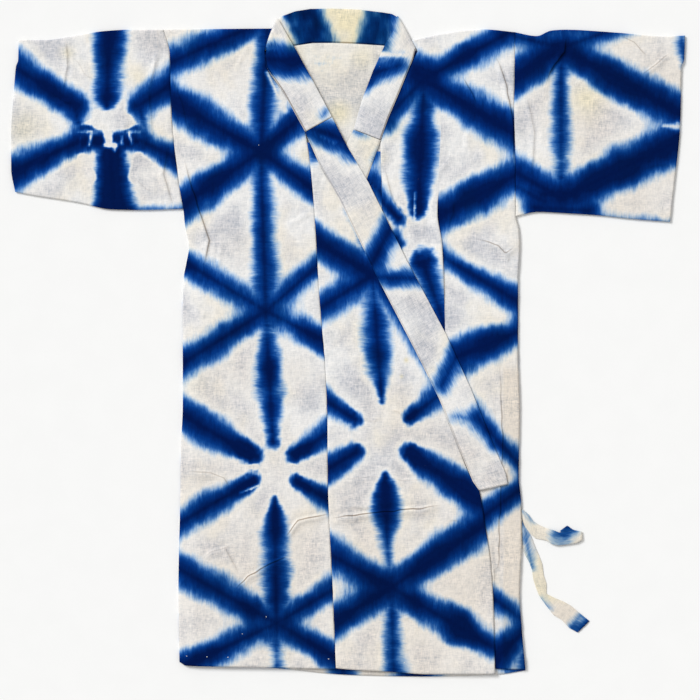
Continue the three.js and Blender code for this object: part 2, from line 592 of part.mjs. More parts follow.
function kimono() {
  const garment = new THREE.Group();
  const { points, used } = bodyGrid();
  const okumiRight = okumiGrid({
    top: COLLAR_SEAM_RIGHT[0].y - OKUMI_TIP,
    seam: INNER_RIGHT, collarSeam: COLLAR_SEAM_RIGHT, edge: OKUMI_EDGE_RIGHT, hem: OKUMI_HEM_RIGHT, z: LAPPED_Z,
  });
  const okumiLeft = okumiGrid({
    top: COLLAR_SEAM_LEFT[0].y - OKUMI_TIP,
    seam: INNER_LEFT, collarSeam: COLLAR_SEAM_LEFT, edge: OKUMI_EDGE_LEFT, hem: OKUMI_HEM_LEFT, z: FRONT_Z,
  });
  const solids = [
    ["body", wall(points, CLOTH, { used }), DYED],
    ["sleeve_right", wall(sleeveGrid(SLEEVE_RIGHT), CLOTH, { wrap: true }), DYED],
    ["sleeve_left", wall(sleeveGrid(SLEEVE_LEFT), CLOTH, { wrap: true }), DYED],
    ["okumi_right", wall(okumiRight, CLOTH), DYED],
    ["okumi_left", wall(okumiLeft, CLOTH), DYED],
    ["collar_right", band(bandSections(COLLAR_RIGHT, UP), COLLAR_BAND, BAND_CROWN), DYED],
    ["collar_left", band(bandSections(COLLAR_LEFT, UP), COLLAR_BAND), UNDYED],
    ["over_collar", band(overCollarSections(), OVER_COLLAR_BAND), DYED],
    ["tie_upper", band(upperTieSections(), TIE), UNDYED],
    ["tie_lower", band(bandSections(TIE_LOWER, UP), TIE, BAND_CROWN), UNDYED],
  ];
  for (const [name, geometry, color] of solids) {
    const outward = signedVolume(geometry) < 0 ? turnedInsideOut(geometry) : geometry;
    garment.add(piece(name, outward, color));
  }
  return garment;
}

export default kimono();
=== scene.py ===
# The looks of a baby's one-width cotton kimono, laid flat on its back and dyed in the snow-flower way
# (sekka). The cloth was pleated and dyed along the folds, which left stars of six rays on a lattice, and
# white centres where the clamp pressed. Tables are in millimetres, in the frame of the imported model: +X is
# the wearer's left, +Y runs from hem to neck, +Z is up. Each piece of cloth is a thin closed shell on its
# solid's form.
from math import cos, pi, radians, sin

import bpy
import numpy as np
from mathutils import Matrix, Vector


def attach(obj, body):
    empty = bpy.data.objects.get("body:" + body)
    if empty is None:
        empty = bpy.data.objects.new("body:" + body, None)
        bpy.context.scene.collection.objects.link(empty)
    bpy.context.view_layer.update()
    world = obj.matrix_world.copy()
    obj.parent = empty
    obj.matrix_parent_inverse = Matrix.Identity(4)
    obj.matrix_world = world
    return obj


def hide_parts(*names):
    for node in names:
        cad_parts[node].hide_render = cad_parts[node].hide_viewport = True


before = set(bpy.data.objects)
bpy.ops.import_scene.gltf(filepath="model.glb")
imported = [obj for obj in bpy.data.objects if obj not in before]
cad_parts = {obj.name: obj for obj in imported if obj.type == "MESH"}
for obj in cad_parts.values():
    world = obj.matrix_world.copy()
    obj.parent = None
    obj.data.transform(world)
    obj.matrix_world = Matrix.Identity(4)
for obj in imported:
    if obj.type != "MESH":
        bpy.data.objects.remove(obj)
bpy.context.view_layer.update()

MM = 0.001
SEED = 11

# ---- Layers: heights of their middles, as in the solids ----
CLOTH_T = 0.7  # one layer of cloth
BACK_Z = 0.5
FRONT_Z = 2.3
UNDER_COLLAR_Z = 2.5
LAPPED_Z = 4.0
LAPPED_COLLAR_Z = 4.2
NECK_BACK_Z = 0.8
NECK_RIGHT_Z = 4.3
NECK_LEFT_Z = 2.6
NECK_LEFT_TURN_Z = 3.0
SHOULDER_RAMP = 17
BEND_RADIUS = (FRONT_Z - BACK_Z) / 2
BEND_INSET = BEND_RADIUS + CLOTH_T / 2

# ---- Fineness of the grids ----
FINE = 1.55
MIDDLING = 2.4
COARSE = 3.4
BEND_ROWS = 8


# ---- Numbers ----
def mix(a, b, t):
    return a + (b - a) * t


def ease(t):
    t = np.clip(t, 0, 1)
    return t * t * (3 - 2 * t)


def curve(*points):
    """The second number of each point as a smooth function of the first, without overshoot."""
    xs, ys = np.array(sorted(points), float).T
    slope = np.diff(ys) / np.diff(xs)
    before, after = slope[:-1], slope[1:]
    onward = before * after > 0
    between = np.where(onward, 2 * before * after / np.where(onward, before + after, 1), 0)
    tangent = np.concatenate([slope[:1], between, slope[-1:]])

    def at(x):
        x = np.clip(x, xs[0], xs[-1])
        k = np.clip(np.searchsorted(xs, x, side="right") - 1, 0, len(xs) - 2)
        h = xs[k + 1] - xs[k]
        t = (x - xs[k]) / h
        a, b = (1 + 2 * t) * (1 - t) ** 2, t * (1 - t) ** 2
        c, d = t * t * (3 - 2 * t), t * t * (t - 1)
        return a * ys[k] + b * h * tangent[k] + c * ys[k + 1] + d * h * tangent[k + 1]

    return at


def noise(x, y, period, seed):
    """Smooth random relief between about -1 and 1. period is one length, or one along x and one along y."""
    px, py = period if hasattr(period, "__len__") else (period, period)
    x, y = np.broadcast_arrays(np.asarray(x, float) / px + 500.3, np.asarray(y, float) / py + 500.7)
    size = 256
    values = np.random.default_rng(SEED * 1000 + seed).uniform(-1, 1, (size, size))
    i, j = np.floor(x).astype(int), np.floor(y).astype(int)
    low, high = (
        mix(values[i % size, k % size], values[(i + 1) % size, k % size], ease(x - i)) for k in (j, j + 1)
    )
    return mix(low, high, ease(y - j))


def steps(start, end, step):
    """Numbers from start to end, about a step apart."""
    return np.linspace(start, end, max(2, int(round(abs(end - start) / step)) + 1))


def bump(distance, width):
    """1 where the distance is 0, falling off smoothly over the width."""
    return np.exp(-((distance / width) ** 2))


def to_segment(a, b, x, y):
    """Where each point lies by the line from a to b: its share of the way, how far off, and which side."""
    along = np.subtract(b, a)
    share = np.clip(((x - a[0]) * along[0] + (y - a[1]) * along[1]) / (along @ along), 0, 1)
    away = np.hypot(x - a[0] - share * along[0], y - a[1] - share * along[1])
    side = (along[0] * (y - a[1]) - along[1] * (x - a[0])) / np.linalg.norm(along)
    return share, away, side


# ---- Outlines, as in the solids ----
ARMHOLE_RIGHT = [(297.1, -175), (274, -169.3), (224, -168), (154, -161.1), (127, -156.5)]
ARMHOLE_LEFT = [(294.8, 158.7), (224, 157.5), (160, 159), (120, 159)]
side_right = curve(
    *ARMHOLE_RIGHT,
    (111, -154.8), (92, -151), (75, -153.7), (62, -156), (28, -157), (-58, -157), (-98, -158.6),
    (-151, -159.4), (-232, -161.1), (-303, -160.1),
)
side_left = curve(
    *ARMHOLE_LEFT,
    (109, 161.8), (92, 162.8), (58, 161.2), (-7, 161.2), (-66, 162.8), (-126, 161.8), (-152, 164.2),
    (-188, 164.7), (-237, 162.8), (-271, 164.7), (-310, 168.2),
)
shoulder = curve(
    (-175, 297.1), (-72, 298.3), (62, 287), (86, 292.7), (108, 296), (129, 297.4), (158, 294.8),
)
back_hem = curve((-160, -303.5), (-71, -309), (2, -315.4), (76, -316.9), (139, -315.2), (168, -311))
front_hem = curve((-160, -302.7), (-154, -306.3), (-71, -308), (-12, -309.2), (14, -307), (168, -310))
NECK_CORNER_Y = 276.6
# The collar turns over each shoulder along a line, low to high.
FOLD_RIGHT = ((-80.6, 276.6), (-68.6, 307.6))
FOLD_LEFT = ((66, 276.6), (47.7, 310.5))
inner_right = curve(
    (276.6, -80.6), (261.4, -77.7), (237.3, -61.4), (200, -40.8), (135.6, -33), (50, -27.7), (-58, -20.1),
    (-134, -19.2), (-232, -14.8), (-310, -11.6),
)
inner_left = curve(
    (276.6, 66), (259.6, 57.4), (238.4, 48.8), (212.9, 38), (191.5, 30.6), (135.6, 31.9), (40.6, 28.3),
    (-54, 22.6), (-150, 17.9), (-310, 14.1),
)
back_neck = curve(
    (-80.6, 276.6), (-51, 282), (-33.5, 284.6), (-15.4, 284.7), (9, 283.8), (33, 282.2), (50, 279.8),
    (66, 276.6),
)
okumi_right_edge = curve(
    (199, -40.4), (169.3, -27.5), (135.6, -8.1), (62.7, 27.2), (-6.9, 63.2), (-53.4, 86.3), (-99, 104.5),
    (-132, 118.4), (-140, 124.2), (-168, 129), (-210, 135.3), (-246, 137.6), (-315, 139.3),
)
okumi_left_edge = curve(
    (190.6, 30), (154.7, 17.4), (97, -7), (16, -41), (-62, -74), (-140, -106), (-210, -118), (-282, -122),
    (-310, -123),
)
okumi_right_hem = curve((-12, -308.6), (2, -309.9), (43, -312.2), (76, -314.4), (140, -314.4))
okumi_left_hem = curve((-123, -307), (15, -307))
cuff_right = curve(
    (288, -312.7), (268, -313.2), (262, -315.3), (241, -317), (198, -319.8), (165, -319.8), (143, -316),
)
cuff_left = curve(
    (292, 319.8), (268, 318.7), (262, 316.2), (224, 315.6), (198, 314.5), (167, 311.3), (139, 308.1),
    (114, 305.3),
)
SLEEVES = {
    "sleeve_right": {
        "armhole": curve(*ARMHOLE_RIGHT),
        "cuff": cuff_right,
        "top": curve(
            (-312.7, 287.4), (-288, 287.4), (-263, 290.7), (-231, 295.9), (-210, 297.1), (-174, 297.1),
        ),
        "bottom": curve(
            (-316, 143.2), (-303, 140.7), (-254, 132.8), (-225, 126.6), (-195, 126), (-157, 127.2),
        ),
        "ends": (-165, -314),
    },
    "sleeve_left": {
        "armhole": curve(*ARMHOLE_LEFT),
        "cuff": cuff_left,
        "top": curve(
            (158, 294.8), (179, 291.2), (193, 296.4), (205, 297.2), (256, 294.3), (299, 290.7),
            (320, 291.7),
        ),
        "bottom": curve((159, 120), (180, 124.2), (214, 122.5), (237, 121), (267, 117.8), (306, 114.7)),
        "ends": (158, 314),
    },
}
# The tuck in the left front: its edge and its height, by y.
tuck_edge = curve(
    (277, 92), (150, 85.1), (122, 84.4), (93, 88.7), (50, 90.6), (30, 91.1), (10, 91.4), (-310, 94),
)
tuck_height = curve(
    (277, 0), (150, 0), (122, 1.6), (93, 1.6), (50, 1.4), (30, 0.4), (10, 0), (-310, 0),
)


def at_height(z, *edges):
    """Sections of a band at one height: x and y of its seam edge and its free edge, and z of its middle."""
    return [(*edge, z) for edge in edges]


COLLAR_RIGHT = at_height(
    LAPPED_COLLAR_Z,
    (-40.6, 199.6, -15.2, 213.8), (-27.5, 169.3, 0.3, 184), (-8.1, 135.6, 19.2, 152),
    (27.2, 62.7, 54.8, 79.5), (63.2, -6.9, 91.8, 10), (86.3, -53.4, 115.6, -42),
    (104.5, -99, 134.6, -89.5), (118.4, -132, 149.5, -124.5), (124.2, -140, 151.2, -134.2),
)
COLLAR_LEFT = at_height(
    UNDER_COLLAR_Z,
    (30.7, 192.1, 5, 202.2), (17.4, 154.7, -10.5, 169), (-7, 97, -34.7, 108.6),
    (-41, 16, -68.7, 27.6), (-74, -62, -101.7, -50.4), (-106, -140, -132, -128.4),
)
NECK_FRONT_RIGHT = at_height(
    NECK_RIGHT_Z,
    (-40.8, 200, -15.4, 214.2), (-61.4, 237.3, -36, 252.9), (-77.7, 261.4, -48.5, 276),
    (-79.3, 270, -57.5, 291),
)
NECK_BACK = at_height(
    NECK_BACK_Z,
    (-67.4, 279.3, -62.5, 310.2), (-51, 282, -50.5, 314.7), (-33.5, 284.6, -36, 317),
    (-15.4, 284.7, -15, 317.3), (9, 283.8, 10, 316.3), (33, 282.2, 33, 313.6), (50, 279.8, 41.5, 312.2),
)
NECK_FRONT_LEFT = [
    *at_height(NECK_LEFT_TURN_Z, (61.4, 269, 44.5, 298.5), (57.4, 259.6, 35, 283.2)),
    *at_height(
        NECK_LEFT_Z, (48.8, 238.4, 23.5, 257.8), (38, 212.9, 12.5, 228.7), (30.9, 192.5, 5.2, 202.6),
    ),
]
OVER_COLLAR_T = 1.5
COLLAR_T = 1.3
COLLAR_FOLD_RISE = 2.1
TIE_T = 0.9
TIE_Z = 0.5
TIE_LIFTING_Z = 1.1
TIE_TURN_Z = 2.3
TIE_UPPER = [
    *at_height(
        TIE_Z,
        (164.6, -166.2, 164.6, -157.2), (167.7, -173.3, 171.5, -163), (173.8, -182.2, 176, -169.5),
        (178, -185.9, 181, -172.8),
    ),
    *at_height(TIE_LIFTING_Z, (187.5, -187.4, 188, -176)),
    *at_height(
        TIE_TURN_Z,
        (193, -190.8, 194.5, -177.8), (198.6, -192.4, 200.1, -180), (209.1, -191.1, 208.5, -180),
        (216.6, -190, 215.5, -178.8), (221.2, -187.6, 220.8, -179.2),
    ),
]
TIE_TIP = at_height(
    TIE_Z, (214.5, -186, 213.6, -177.6), (208.8, -185, 208.1, -173.6), (202.6, -184, 201.4, -178.4),
)
TIE_LOWER = at_height(
    TIE_Z,
    (164.9, -181, 164.95, -168.3), (165.2, -186, 167.1, -173.6), (165.4, -190.5, 170.2, -178.1),
    (166, -195.5, 173.4, -182.9), (168.5, -202.5, 177.2, -193), (171.9, -208.5, 181, -201.8),
    (174.5, -215.5, 184.2, -210), (175.7, -224.5, 185.6, -220.7), (178.1, -232, 188.3, -229),
    (181.4, -240.4, 188.2, -238.4), (188.5, -250.3, 196, -242.4), (195, -258.7, 204, -245.6),
    (202.5, -263, 211.2, -249.5), (210, -270.9, 219.5, -256.5), (218, -275.2, 229.2, -264.3),
)

# ---- The dye: stars of six rays, charted one by one ----
REACH = {"back": 76}  # a slanting ray runs this far from its star on the pieces named, and else the longest
LONGEST_REACH = 150
AT_SHARES = (0, 0.14, 0.28, 0.42, 0.6, 0.8, 1)
# Half width along a ray as a share of its widest, at AT_SHARES, by what it runs from or between.
SLANT = {
    "star": (0.76, 0.82, 0.92, 1, 1, 1, 0.95),
    "white": (0.62, 0.8, 0.92, 1, 1, 1, 0.95),
}
UPRIGHT = {
    ("star", "star"): (0.8, 0.8, 0.88, 0.96, 1, 0.95, 0.8),
    ("star", "white"): (0.5, 0.46, 0.72, 1, 1, 0.82, 0.5),
    ("waist", "white"): (0.5, 0.44, 0.62, 1, 0.84, 0.68, 0.42),
    ("white", "star"): (0.12, 0.72, 0.95, 1, 1, 1, 0.7),
    ("white", "tip"): (0.25, 0.72, 0.92, 1, 0.9, 0.52, 0.02),
    ("white", "white"): (0.5, 0.72, 0.9, 1, 1, 0.8, 0.5),
    ("tip", "star"): (0.8, 0.8, 0.8, 0.9, 1, 1, 1),
    ("star", "foot"): (0.4, 0.42, 0.5, 0.62, 0.8, 1, 1),
    ("star", "thin"): (0.8, 0.84, 0.96, 1, 0.96, 0.78, 0.56),
    ("star", "point"): (0.5, 0.52, 0.78, 1, 0.96, 0.62, 0.14),
}
CORNERS = [(1, 1), (1, -1), (-1, -1), (-1, 1)]  # upper right, lower right, lower left, upper left

# x, y, what lies there and its clear radius, then the widest half width and the slant in degrees of the ray
# at each corner, or 0, and the widest half width of the ray down to the next row.
STARS = {
    "front_right": [
        (-76, 307, "star", 0, 0, 0, (14, 24), 0, 11.5),
        (-83, 181, "star", 0, (15.5, 41), (13.5, 35), (16, 34), (17.5, 30), 11),
        (-78, 30, "waist", 0, (11, 41), (13, 27), (13.5, 32), (11.5, 31), 12.8),
        (-70, -119, "white", 24, (13.5, 33), (11.5, 30), (12, 30), (15.5, 30), 12),
        (-68, -266, "star", 0, (12, 31), (13.5, 30), (13, 25), (14.5, 29), 7.5),
        (-67, -413, "foot", 0, 0, 0, 0, 0, 0),
    ],
    "okumi_right": [
        (23, 64, "star", 0, 0, (11, 54), (14, 32), (16.5, 31), 13),
        (32, -57, "point", 0, 0, 0, 0, 0, 0),
        (33, -89, "white", 31, (11.5, 36), (16, 33), (16, 30), (11.5, 32), 13.5),
        (37.5, -200, "tip", 0, 0, 0, 0, 0, 2.2),
        (41, -232, "star", 0, (16.5, 34), 0, (16.5, 31), (16.5, 28), 13),
        (45, -372, "foot", 0, 0, 0, 0, 0, 0),
    ],
    "front_left_inner": [
        (72, 250, "star", 0, (14, 29), (17.5, 31), (11, 45), (9, 50), 15.5),
        (65, 101, "white", 24, 0, 0, 0, (9.5, 45), 0),
        (71, 76, "tip", 0, 0, 0, 0, 0, 12),
        (113, -46, "star", 0, 0, 0, 0, 0, 0),
    ],
    "front_left_outer": [
        (72, 250, "star", 0, (14, 29), (17.5, 31), 0, 0, 0),
        (176, 168, "star", 0, 0, 0, (17.5, 28), 0, 0),
        (163, 38, "star", 0, 0, 0, 0, 0, 3),
        (173, 15, "star", 0, 0, 0, (17, 22), 0, 0),
        (176, -130, "star", 0, 0, 0, (13.5, 36), (10, 47), 0),
        (173, -268, "star", 0, 0, 0, (18, 44), (10, 35), 14),
        (172, -400, "foot", 0, 0, 0, 0, 0, 0),
    ],
    "sleeve_left": [
        (202, 280, "star", 0, (9, 19), (18, 29), (19.5, 32), (9, 14), 7.8),
        (202, 137, "thin", 0, (20.5, 26), 0, 0, (15.5, 30), 0),
    ],
}
# Single marks of dye: x and y from and to, and half width at both ends, less than 0 for a haze. The right
# sleeve's star was clamped at its middle, so that its rays are all marks.
MARKS = {
    "front_left_inner": [
        (64, 256, 78, 252, 17, 15), (45, 101, 50, 94, 5, 4.6), (36, 214, 50, 240, 9, 10),
        (65.5, 85.5, 67, 76, 1, 5), (77.5, 86, 76, 76, 0.8, 5),
    ],
    "front_left_outer": [
        (64, 256, 78, 252, 17, 15), (89, 82, 165, 37, 7, 13), (170, -258, 172, -312, 6, 12),
    ],
    "okumi_right": [
        (4, 128, 18, 88, 2, 5), (-42, 205, -31, 177, 8, 5.5), (41, -232, 104, -269, 13, 15.5),
        (104, -269, 136, -288, 15.5, 10),
    ],
    "okumi_left": [(38, 200, 24, 172, 7, 4), (7, 166, 44, 130, 9, 9)],
    "sleeve_right": [
        (-227, 302, -228.5, 234, 17.5, 10), (-228.8, 234, -229.4, 225, 8.5, 2.5),
        (-325, 267, -259, 225, 16, 13), (-259, 221, -256, 209, 7.5, 3),
        (-160, 250, -199, 225, 16.5, 12), (-197, 221, -194, 206, 6.5, 2.5),
        (-258, 190, -322, 160, 9, 18.5), (-192, 189, -158, 173, 8.5, 14.5),
        (-225, 180, -224, 158, 14, 14), (-224, 156, -221, 110, 14, 29), (-254, 191, -198, 191, 8.6, 8.6),
        (-254, 204.6, -245, 204.6, 2.4, 2.4), (-209, 204.4, -198, 204.4, 2.3, 2.3),
        (-207, 127.5, -158, 127.5, 1.2, 1.6),
    ],
    "sleeve_left": [
        (316, 291, 320, 262, 3.5, 2), (184, 141, 216, 141, 11, 11), (177, 128, 228, 125, 10, 10),
        (180, 299, 246, 299, 8, 8), (306, 203, 320, 201, 1.6, 2.4), (236, 120.5, 306, 115, 0.8, 0.6),
        (160, 148, 186, 134, 6, 7.5),
    ],
    "over_collar": [
        (-46, 320, -29, 280, 19, 17), (33, 320, 22, 278, 16, 14), (-84, 269, -30, 267, 15, 17),
        (14, 253, 50, 263.5, 14, 7), (-20, 220, -25, 214, 1.6, 1.2),
    ],
    "collar_right": [
        (-35, 204, 2, 190.5, 11, 18), (23, 76, 46, 119, 11, 13), (25, 62, 72, 61, 8.5, 8.5),
        (89, -40, 114, 9, 7, 13), (99, -69, 121, -73, 0.6, 2.6), (122, -70, 141, -96, 8, 9),
    ],
    "collar_left": [
        (2, 202, 20, 195, 0.4, -0.6), (25, 171, 30, 184, 1.5, 1.2), (-18, 140, 6, 118, 10, 12),
        (-50, 30, -42, 60, 10, 12), (-86, -60, -58, -38, 12, 12), (-116, -100, -90, -124, 12, 10),
    ],
    "tie_upper": [
        (203, -174, 214, -177, 5, 4), (196, -181, 205, -182, -1.2, 0.4), (194, -190, 209, -190, -2.8, -2.6),
        (166, -160, 177, -170, -0.5, -1.5),
    ],
    "tie_lower": [
        (168.5, -186, 175, -214, 0.8, 0.2), (166, -170, 169, -182, 1, -1), (184, -243, 191, -252, -1.6, -2),
        (218, -275, 230, -264, 4.5, 6), (212, -270, 221, -258, 0.6, -0.6),
    ],
    "back": [
        (-34, 272, -6, 271, -3.6, -3.6), (-32, 265, -4, 264, -3.4, -3.6), (-28, 258, -8, 257, -4.4, -4.8),
        (22, 262, 30, 250, -2.8, -3.2),
    ],
}
# Where the clamp or a fold kept the dye out, in the same columns.
RESISTS = {
    "sleeve_right": [
        (-236, 210, -211, 210, 8, 8), (-253, 207.6, -238, 211, 0.4, 5.5),
        (-199, 207.6, -211, 211, 0.4, 5.5), (-256, 200.2, -243, 200.2, 0.5, 0.9),
        (-209, 200.2, -197.5, 200.2, 0.8, 0.4), (-254, 196, -255, 185, -1.4, -1.8),
        (-243.6, 199, -246, 187, 0.8, 0.2), (-228.5, 203, -227, 191, 5, 3.4),
        (-230, 187.6, -220.5, 187.2, 2, 2.3), (-222, 186, -221.4, 181.5, 1.7, 0.2),
        (-219.5, 198, -219.5, 190, -1.2, -1.4), (-214.8, 196, -214.8, 189, 0.2, 0.8),
        (-208.2, 199, -205, 189, 0.8, 0.2), (-200, 196, -196, 186, -2, -2.4),
        (-251.5, 173, -250, 158, 7.4, 11.5), (-258, 169, -276, 158, 5, 5.5),
        (-199, 174, -199, 158, 7.5, 10), (-196, 172, -176, 158, 7, 6),
    ],
    "sleeve_left": [(299, 206, 319, 204.4, 1.2, 2.6), (322, 208, 312, 208, 0.3, 0.6)],
    "front_left_inner": [(63, 142, 63, 116, 0.2, 0.9)],
    "front_right": [
        (-102, -142.5, -85, -135.5, 0.2, 1.3), (-108, -117, -87, -118, 1.6, 3.2),
        (-54, -117, -42, -118, 3, 1.4), (-76.5, 256, -60, 220, 0.8, 3),
    ],
    "over_collar": [(61.5, 255, 61.5, 279, 4, 4), (31, 273.2, 60, 273.2, 3, 3)],
    "collar_right": [(-26, 196, -12, 189, -1.4, -1)],
}
# Yellowed places: x, y, reach and how yellow.
YELLOW_PATCHES = {
    "sleeve_left": [(226, 232, 15, 0.75), (212, 262, 5, 0.3)],
    "sleeve_right": [(-308, 203, 17, 0.5), (-266, 275, 7, 0.5), (-200, 252, 9, 0.3)],
    "okumi_right": [(55, -16.5, 2.2, 1.0), (50.5, -32, 1.7, 0.8), (-26, -250, 8, 0.3)],
    "front_left_inner": [(40, 206, 12, 0.55), (31, 176, 8, 0.35)],
    "front_right": [(-40, 178, 7, 0.45), (-146, -40, 16, 0.25)],
    "back": [(-9, 218, 14, 0.85), (14, 271, 15, 0.55), (20, 240, 12, 0.3)],
}
BACK_FIRST, BACK_PITCH = (-136, 309), (131, 148)  # the hidden back repeats the star on an even lattice
OKUMI_LEFT_FIRST, OKUMI_LEFT_PITCH = (-20, 62), (129, 152)  # and so does the hidden okumi
CLAMP = (-226, 196, 52)  # the right sleeve's clamped middle, and how far round it the dye's edges are crisp
WRONG_SIDE_Y = 277  # above this the over-collar shows its wrong side, where the dye is paler and uneven
BARE = (-5, 235)  # inside the back's neck the cloth is nearly white
BARE_RADIUS = 20
RUN_TOGETHER = 4.2  # how far two rays run together in the corner between them
RESIST_SOFTNESS = 0.8
RESIST_SHARPNESS = 2.6
UNDYED_DEPTH = -40
CRISP_MARGIN = 20  # the dye's edges are crisp this far beyond a white centre


def even_stars(first, pitch, columns, rows):
    """Stars on an even lattice, each third one down a column with a white centre."""
    slant = np.degrees(np.arctan2(pitch[1] / 2, pitch[0]))
    chance = np.random.default_rng(SEED)
    made = []
    for i in range(columns):
        for j in range(rows):
            x, y = first[0] + i * pitch[0], first[1] - (i % 2) * pitch[1] / 2 - j * pitch[1]
            centre, clear = ("white", 25) if (j + i) % 3 == 1 else ("star", 0)
            corners = [(chance.uniform(11, 16), slant + chance.uniform(-2, 3)) for _ in CORNERS]
            down = 0 if j == rows - 1 else chance.uniform(10.5, 14)
            x, y = x + chance.uniform(-4, 4), y + chance.uniform(-4, 4)
            if np.hypot(x - BARE[0], y - BARE[1]) < BARE_RADIUS:
                corners, down = [0] * len(CORNERS), 0
            made.append((x, y, centre, clear, *corners, down))
    return made


STARS["back"] = even_stars(BACK_FIRST, BACK_PITCH, 3, 5)
STARS["okumi_left"] = even_stars(OKUMI_LEFT_FIRST, OKUMI_LEFT_PITCH, 1, 3)


def slanting_rays(name):
    rays = []
    for x, y, _, clear, *corners, _ in STARS.get(name, []):
        for (right, up), corner in zip(CORNERS, corners):
            if corner:
                half, slant = corner
                way = np.array([right * cos(radians(slant)), up * sin(radians(slant))])
                halves = [half * share for share in SLANT["white" if clear else "star"]]
                rays.append(((x, y) + way * clear, (x, y) + way * REACH.get(name, LONGEST_REACH), halves))
    return rays


def upright_rays(name):
    rays = []
    stars = STARS.get(name, [])
    for (*start, centre, clear, _, _, _, _, half), (*end, next_centre, next_clear, _, _, _, _, _) in zip(
        stars, stars[1:]
    ):
        if half and end[1] <= start[1]:
            way = np.subtract(end, start) / np.linalg.norm(np.subtract(end, start))
            shares = UPRIGHT.get((centre, next_centre), UPRIGHT["star", "star"])
            halves = [half * share for share in shares]
            rays.append((start + way * clear * 1.15, end - way * next_clear, halves))
    return rays


def rays_of(marks):
    return [((x0, y0), (x1, y1), mix(h0, h1, np.array(AT_SHARES))) for x0, y0, x1, y1, h0, h1 in marks]


def is_upright(mark):
    x0, y0, x1, y1, *_ = mark
    return abs(y1 - y0) > 2 * abs(x1 - x0)


def depth_in(rays, x, y, softness=RUN_TOGETHER):
    """How deep each point lies inside the rays, and how far it is from the nearest ray's middle line."""
    total = np.zeros(x.shape)
    middle = np.full(x.shape, 99.0)
    for a, b, halves in rays:
        share, away, _ = to_segment(a, b, x, y)
        depth = np.interp(share, AT_SHARES, halves) - away
        total += np.exp(np.clip(depth, -60, 40) / softness)
        middle = np.minimum(middle, away)
    return softness * np.log(total + 1e-9), middle


def dye(name, x, y):
    """The dye's attributes at each point of a piece, from the chart named."""
    marks = MARKS.get(name, [])
    slanting, middle_a = depth_in(
        slanting_rays(name) + rays_of(mark for mark in marks if not is_upright(mark)), x, y
    )
    upright, middle_b = depth_in(
        upright_rays(name) + rays_of(mark for mark in marks if is_upright(mark)), x, y
    )
    crisp = np.zeros(x.shape)  # the edges are sharp where the clamp pressed, round a white centre
    for star_x, star_y, _, clear, *_ in STARS.get(name, []):
        if clear:
            away = np.hypot(x - star_x, y - star_y)
            crisp = np.maximum(crisp, bump((away / (clear + CRISP_MARGIN)) ** 2, 1))
    if name == "sleeve_right":
        crisp = bump(np.hypot(x - CLAMP[0], y - CLAMP[1]), CLAMP[2])
    bleed = np.clip(0.85 + 0.4 * noise(x, y, 30, 3) - crisp * 0.7, 0.15, 1.25)  # how soft the edges are
    lobes = 2.0 * noise(x, y, 17, 1) + 1.1 * noise(x, y, 7, 2)  # and how they wander, in mm
    lobes = lobes * (1 - 0.6 * crisp) + crisp * 1.5 * noise(x, y, 3.4, 4)
    kept_out, _ = depth_in(rays_of(RESISTS.get(name, [])), x, y, RESIST_SOFTNESS)
    allowed = -RESIST_SHARPNESS * (kept_out + 0.5 * noise(x, y, 2.6, 6))
    if name == "over_collar":
        paler = np.minimum(allowed, 6.4 + 4 * noise(x, y, (7, 10), 7))
        allowed = np.where(y > WRONG_SIDE_Y, paler, allowed)
    allowed = np.maximum(allowed, UNDYED_DEPTH)
    yellow = np.zeros(x.shape)
    for patch_x, patch_y, reach, by in YELLOW_PATCHES.get(name, []):
        yellow = np.maximum(yellow, by * bump(np.hypot(x - patch_x, y - patch_y), reach))
    toward_hem, toward_left = ease((60 - y) / 320), ease((x - 160) / 60)  # creamier there
    return {
        "dye_slant": np.clip(slanting + lobes, UNDYED_DEPTH, allowed),
        "dye_upright": np.clip(upright + lobes, UNDYED_DEPTH, allowed),
        "dye_line": np.minimum(middle_a, middle_b),
        "bleed": bleed,
        "cream": np.clip(0.02 + 0.5 * toward_hem + 0.35 * toward_left + 0.25 * noise(x, y, 40, 5), 0, 1),
        "yellow": yellow,
    }


